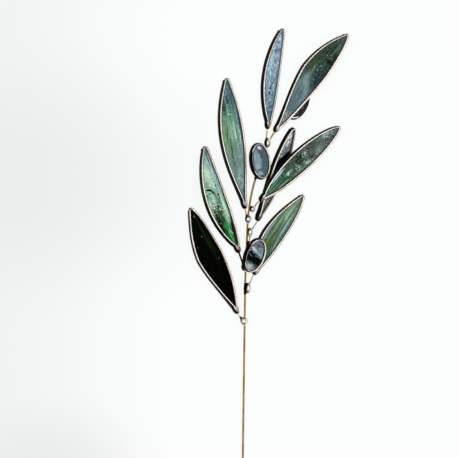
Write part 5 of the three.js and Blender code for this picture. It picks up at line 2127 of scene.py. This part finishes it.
OLIVES = (
    Olive("upper", 7, 0, 21, 23.8, 13.0, SLATE, centre=(10.4, 286.0, 14.0)),
    Olive("lower", -20, 0, 22, 22.9, 13.1, DUSK, centre=(6.6, 220.4, 14.6), hold_angle=150, via=(3.2, 231.6, 11),
          joint="middle", end=(0.1, -1.2, 0.4)),
    Olive("top", -25, -2.6, 6, 22.6, 12.7, NIGHT, centre=(37.1, 327.1, 4.2), hold_angle=244, via=(21.6, 307.5, 6.3),
          joint="top", end=(0.6, 0.2, -0.8), dark_at=15, dark_reach=65),
)

OLIVE_BEAD_SIZE = (3.2, 3.2, 3.2)
ROD_BEAD_ALONG = 275.6
ROD_BEAD_OFFSET = (0.9, 0.0, 2.5)
ROD_BEAD_SIZE = (3.2, 3.4, 6.2)
# How far to the left these two beads are free of painted shade, as in Bead.
OLIVE_BEAD_UNSHADED = -0.6
ROD_BEAD_UNSHADED = -0.8


def build_stem(shop: Workshop) -> dict[str, StemJoint]:
    """Makes the rod and places its joints.

    Args:
        shop: What all pieces share.

    Returns:
        The joints by name, with the rod's two arms where solder crept along it.
    """
    ROD.build(shop)
    joints = {}
    for joint in JOINTS:
        middle = ROD.point_at(joint.at[1])
        joint.centre = (*joint.at, middle.z)
        inside = shop.layout.place(middle)
        for step in (-joint.size[1], joint.size[1]):
            outside = shop.layout.place(ROD.point_at(joint.at[1] + step))
            if joint.on_rod and (outside - inside).length > ROD_DIAMETER * MM:
                joint.arms.append((outside, inside, ROD_DIAMETER))
        joints[joint.name] = joint
    return joints


def build_beads(shop: Workshop, joints: dict[str, StemJoint]) -> None:
    """Makes the beads of solder: on the rod, and where each olive is held.

    Args:
        shop: What all pieces share.
        joints: The joints, with all their arms.
    """
    for number, joint in enumerate(joints.values()):
        centre = shop.layout.place(joint.centre)
        Bead(f"joint_{joint.name}", centre, joint.size, joint.arms, joint.unshaded).build(shop, JOINT_SEED + number)
    for number, olive in enumerate(OLIVES):
        node = f"olive_{olive.name}_bead"
        if olive.joint:
            held = olive.hold_point()
            arm = (shop.layout.place(olive.via), held, WIRE_DIAMETER)
            bead = Bead(node, held, OLIVE_BEAD_SIZE, [arm], OLIVE_BEAD_UNSHADED)
        else:
            middle = ROD.point_at(ROD_BEAD_ALONG)
            centre = shop.layout.place(middle + Vector(ROD_BEAD_OFFSET))
            arms = [(shop.layout.place(ROD.point_at(ROD_BEAD_ALONG + s)), shop.layout.place(middle), ROD_DIAMETER)
                    for s in (-ROD_BEAD_SIZE[1], ROD_BEAD_SIZE[1])]
            bead = Bead(node, centre, ROD_BEAD_SIZE, arms, ROD_BEAD_UNSHADED)
        bead.build(shop, OLIVE_BEAD_SEED + number)


def main() -> None:
    """Builds the branch and its stage."""
    logging.basicConfig(level=logging.INFO, format="%(name)s %(message)s")
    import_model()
    shop = Workshop(Layout.from_frame(), DrawnBrass().build(), TinnedSolder().build(), bar_tree(),
                    relief_tree("uneven skin"))
    Studio().build(shop.layout)
    joints = build_stem(shop)
    for number, piece in enumerate((*LEAVES, *OLIVES)):
        piece.settle(shop)
        piece.build_rim(shop, RIM_SEED + number)
        piece.build_pane(shop, PANE_SEED + number)
        if piece.joint:
            piece.build_wire(shop, joints)
    build_beads(shop, joints)
    log.info("%d pieces", shop.made)


if __name__ == "__main__":
    main()
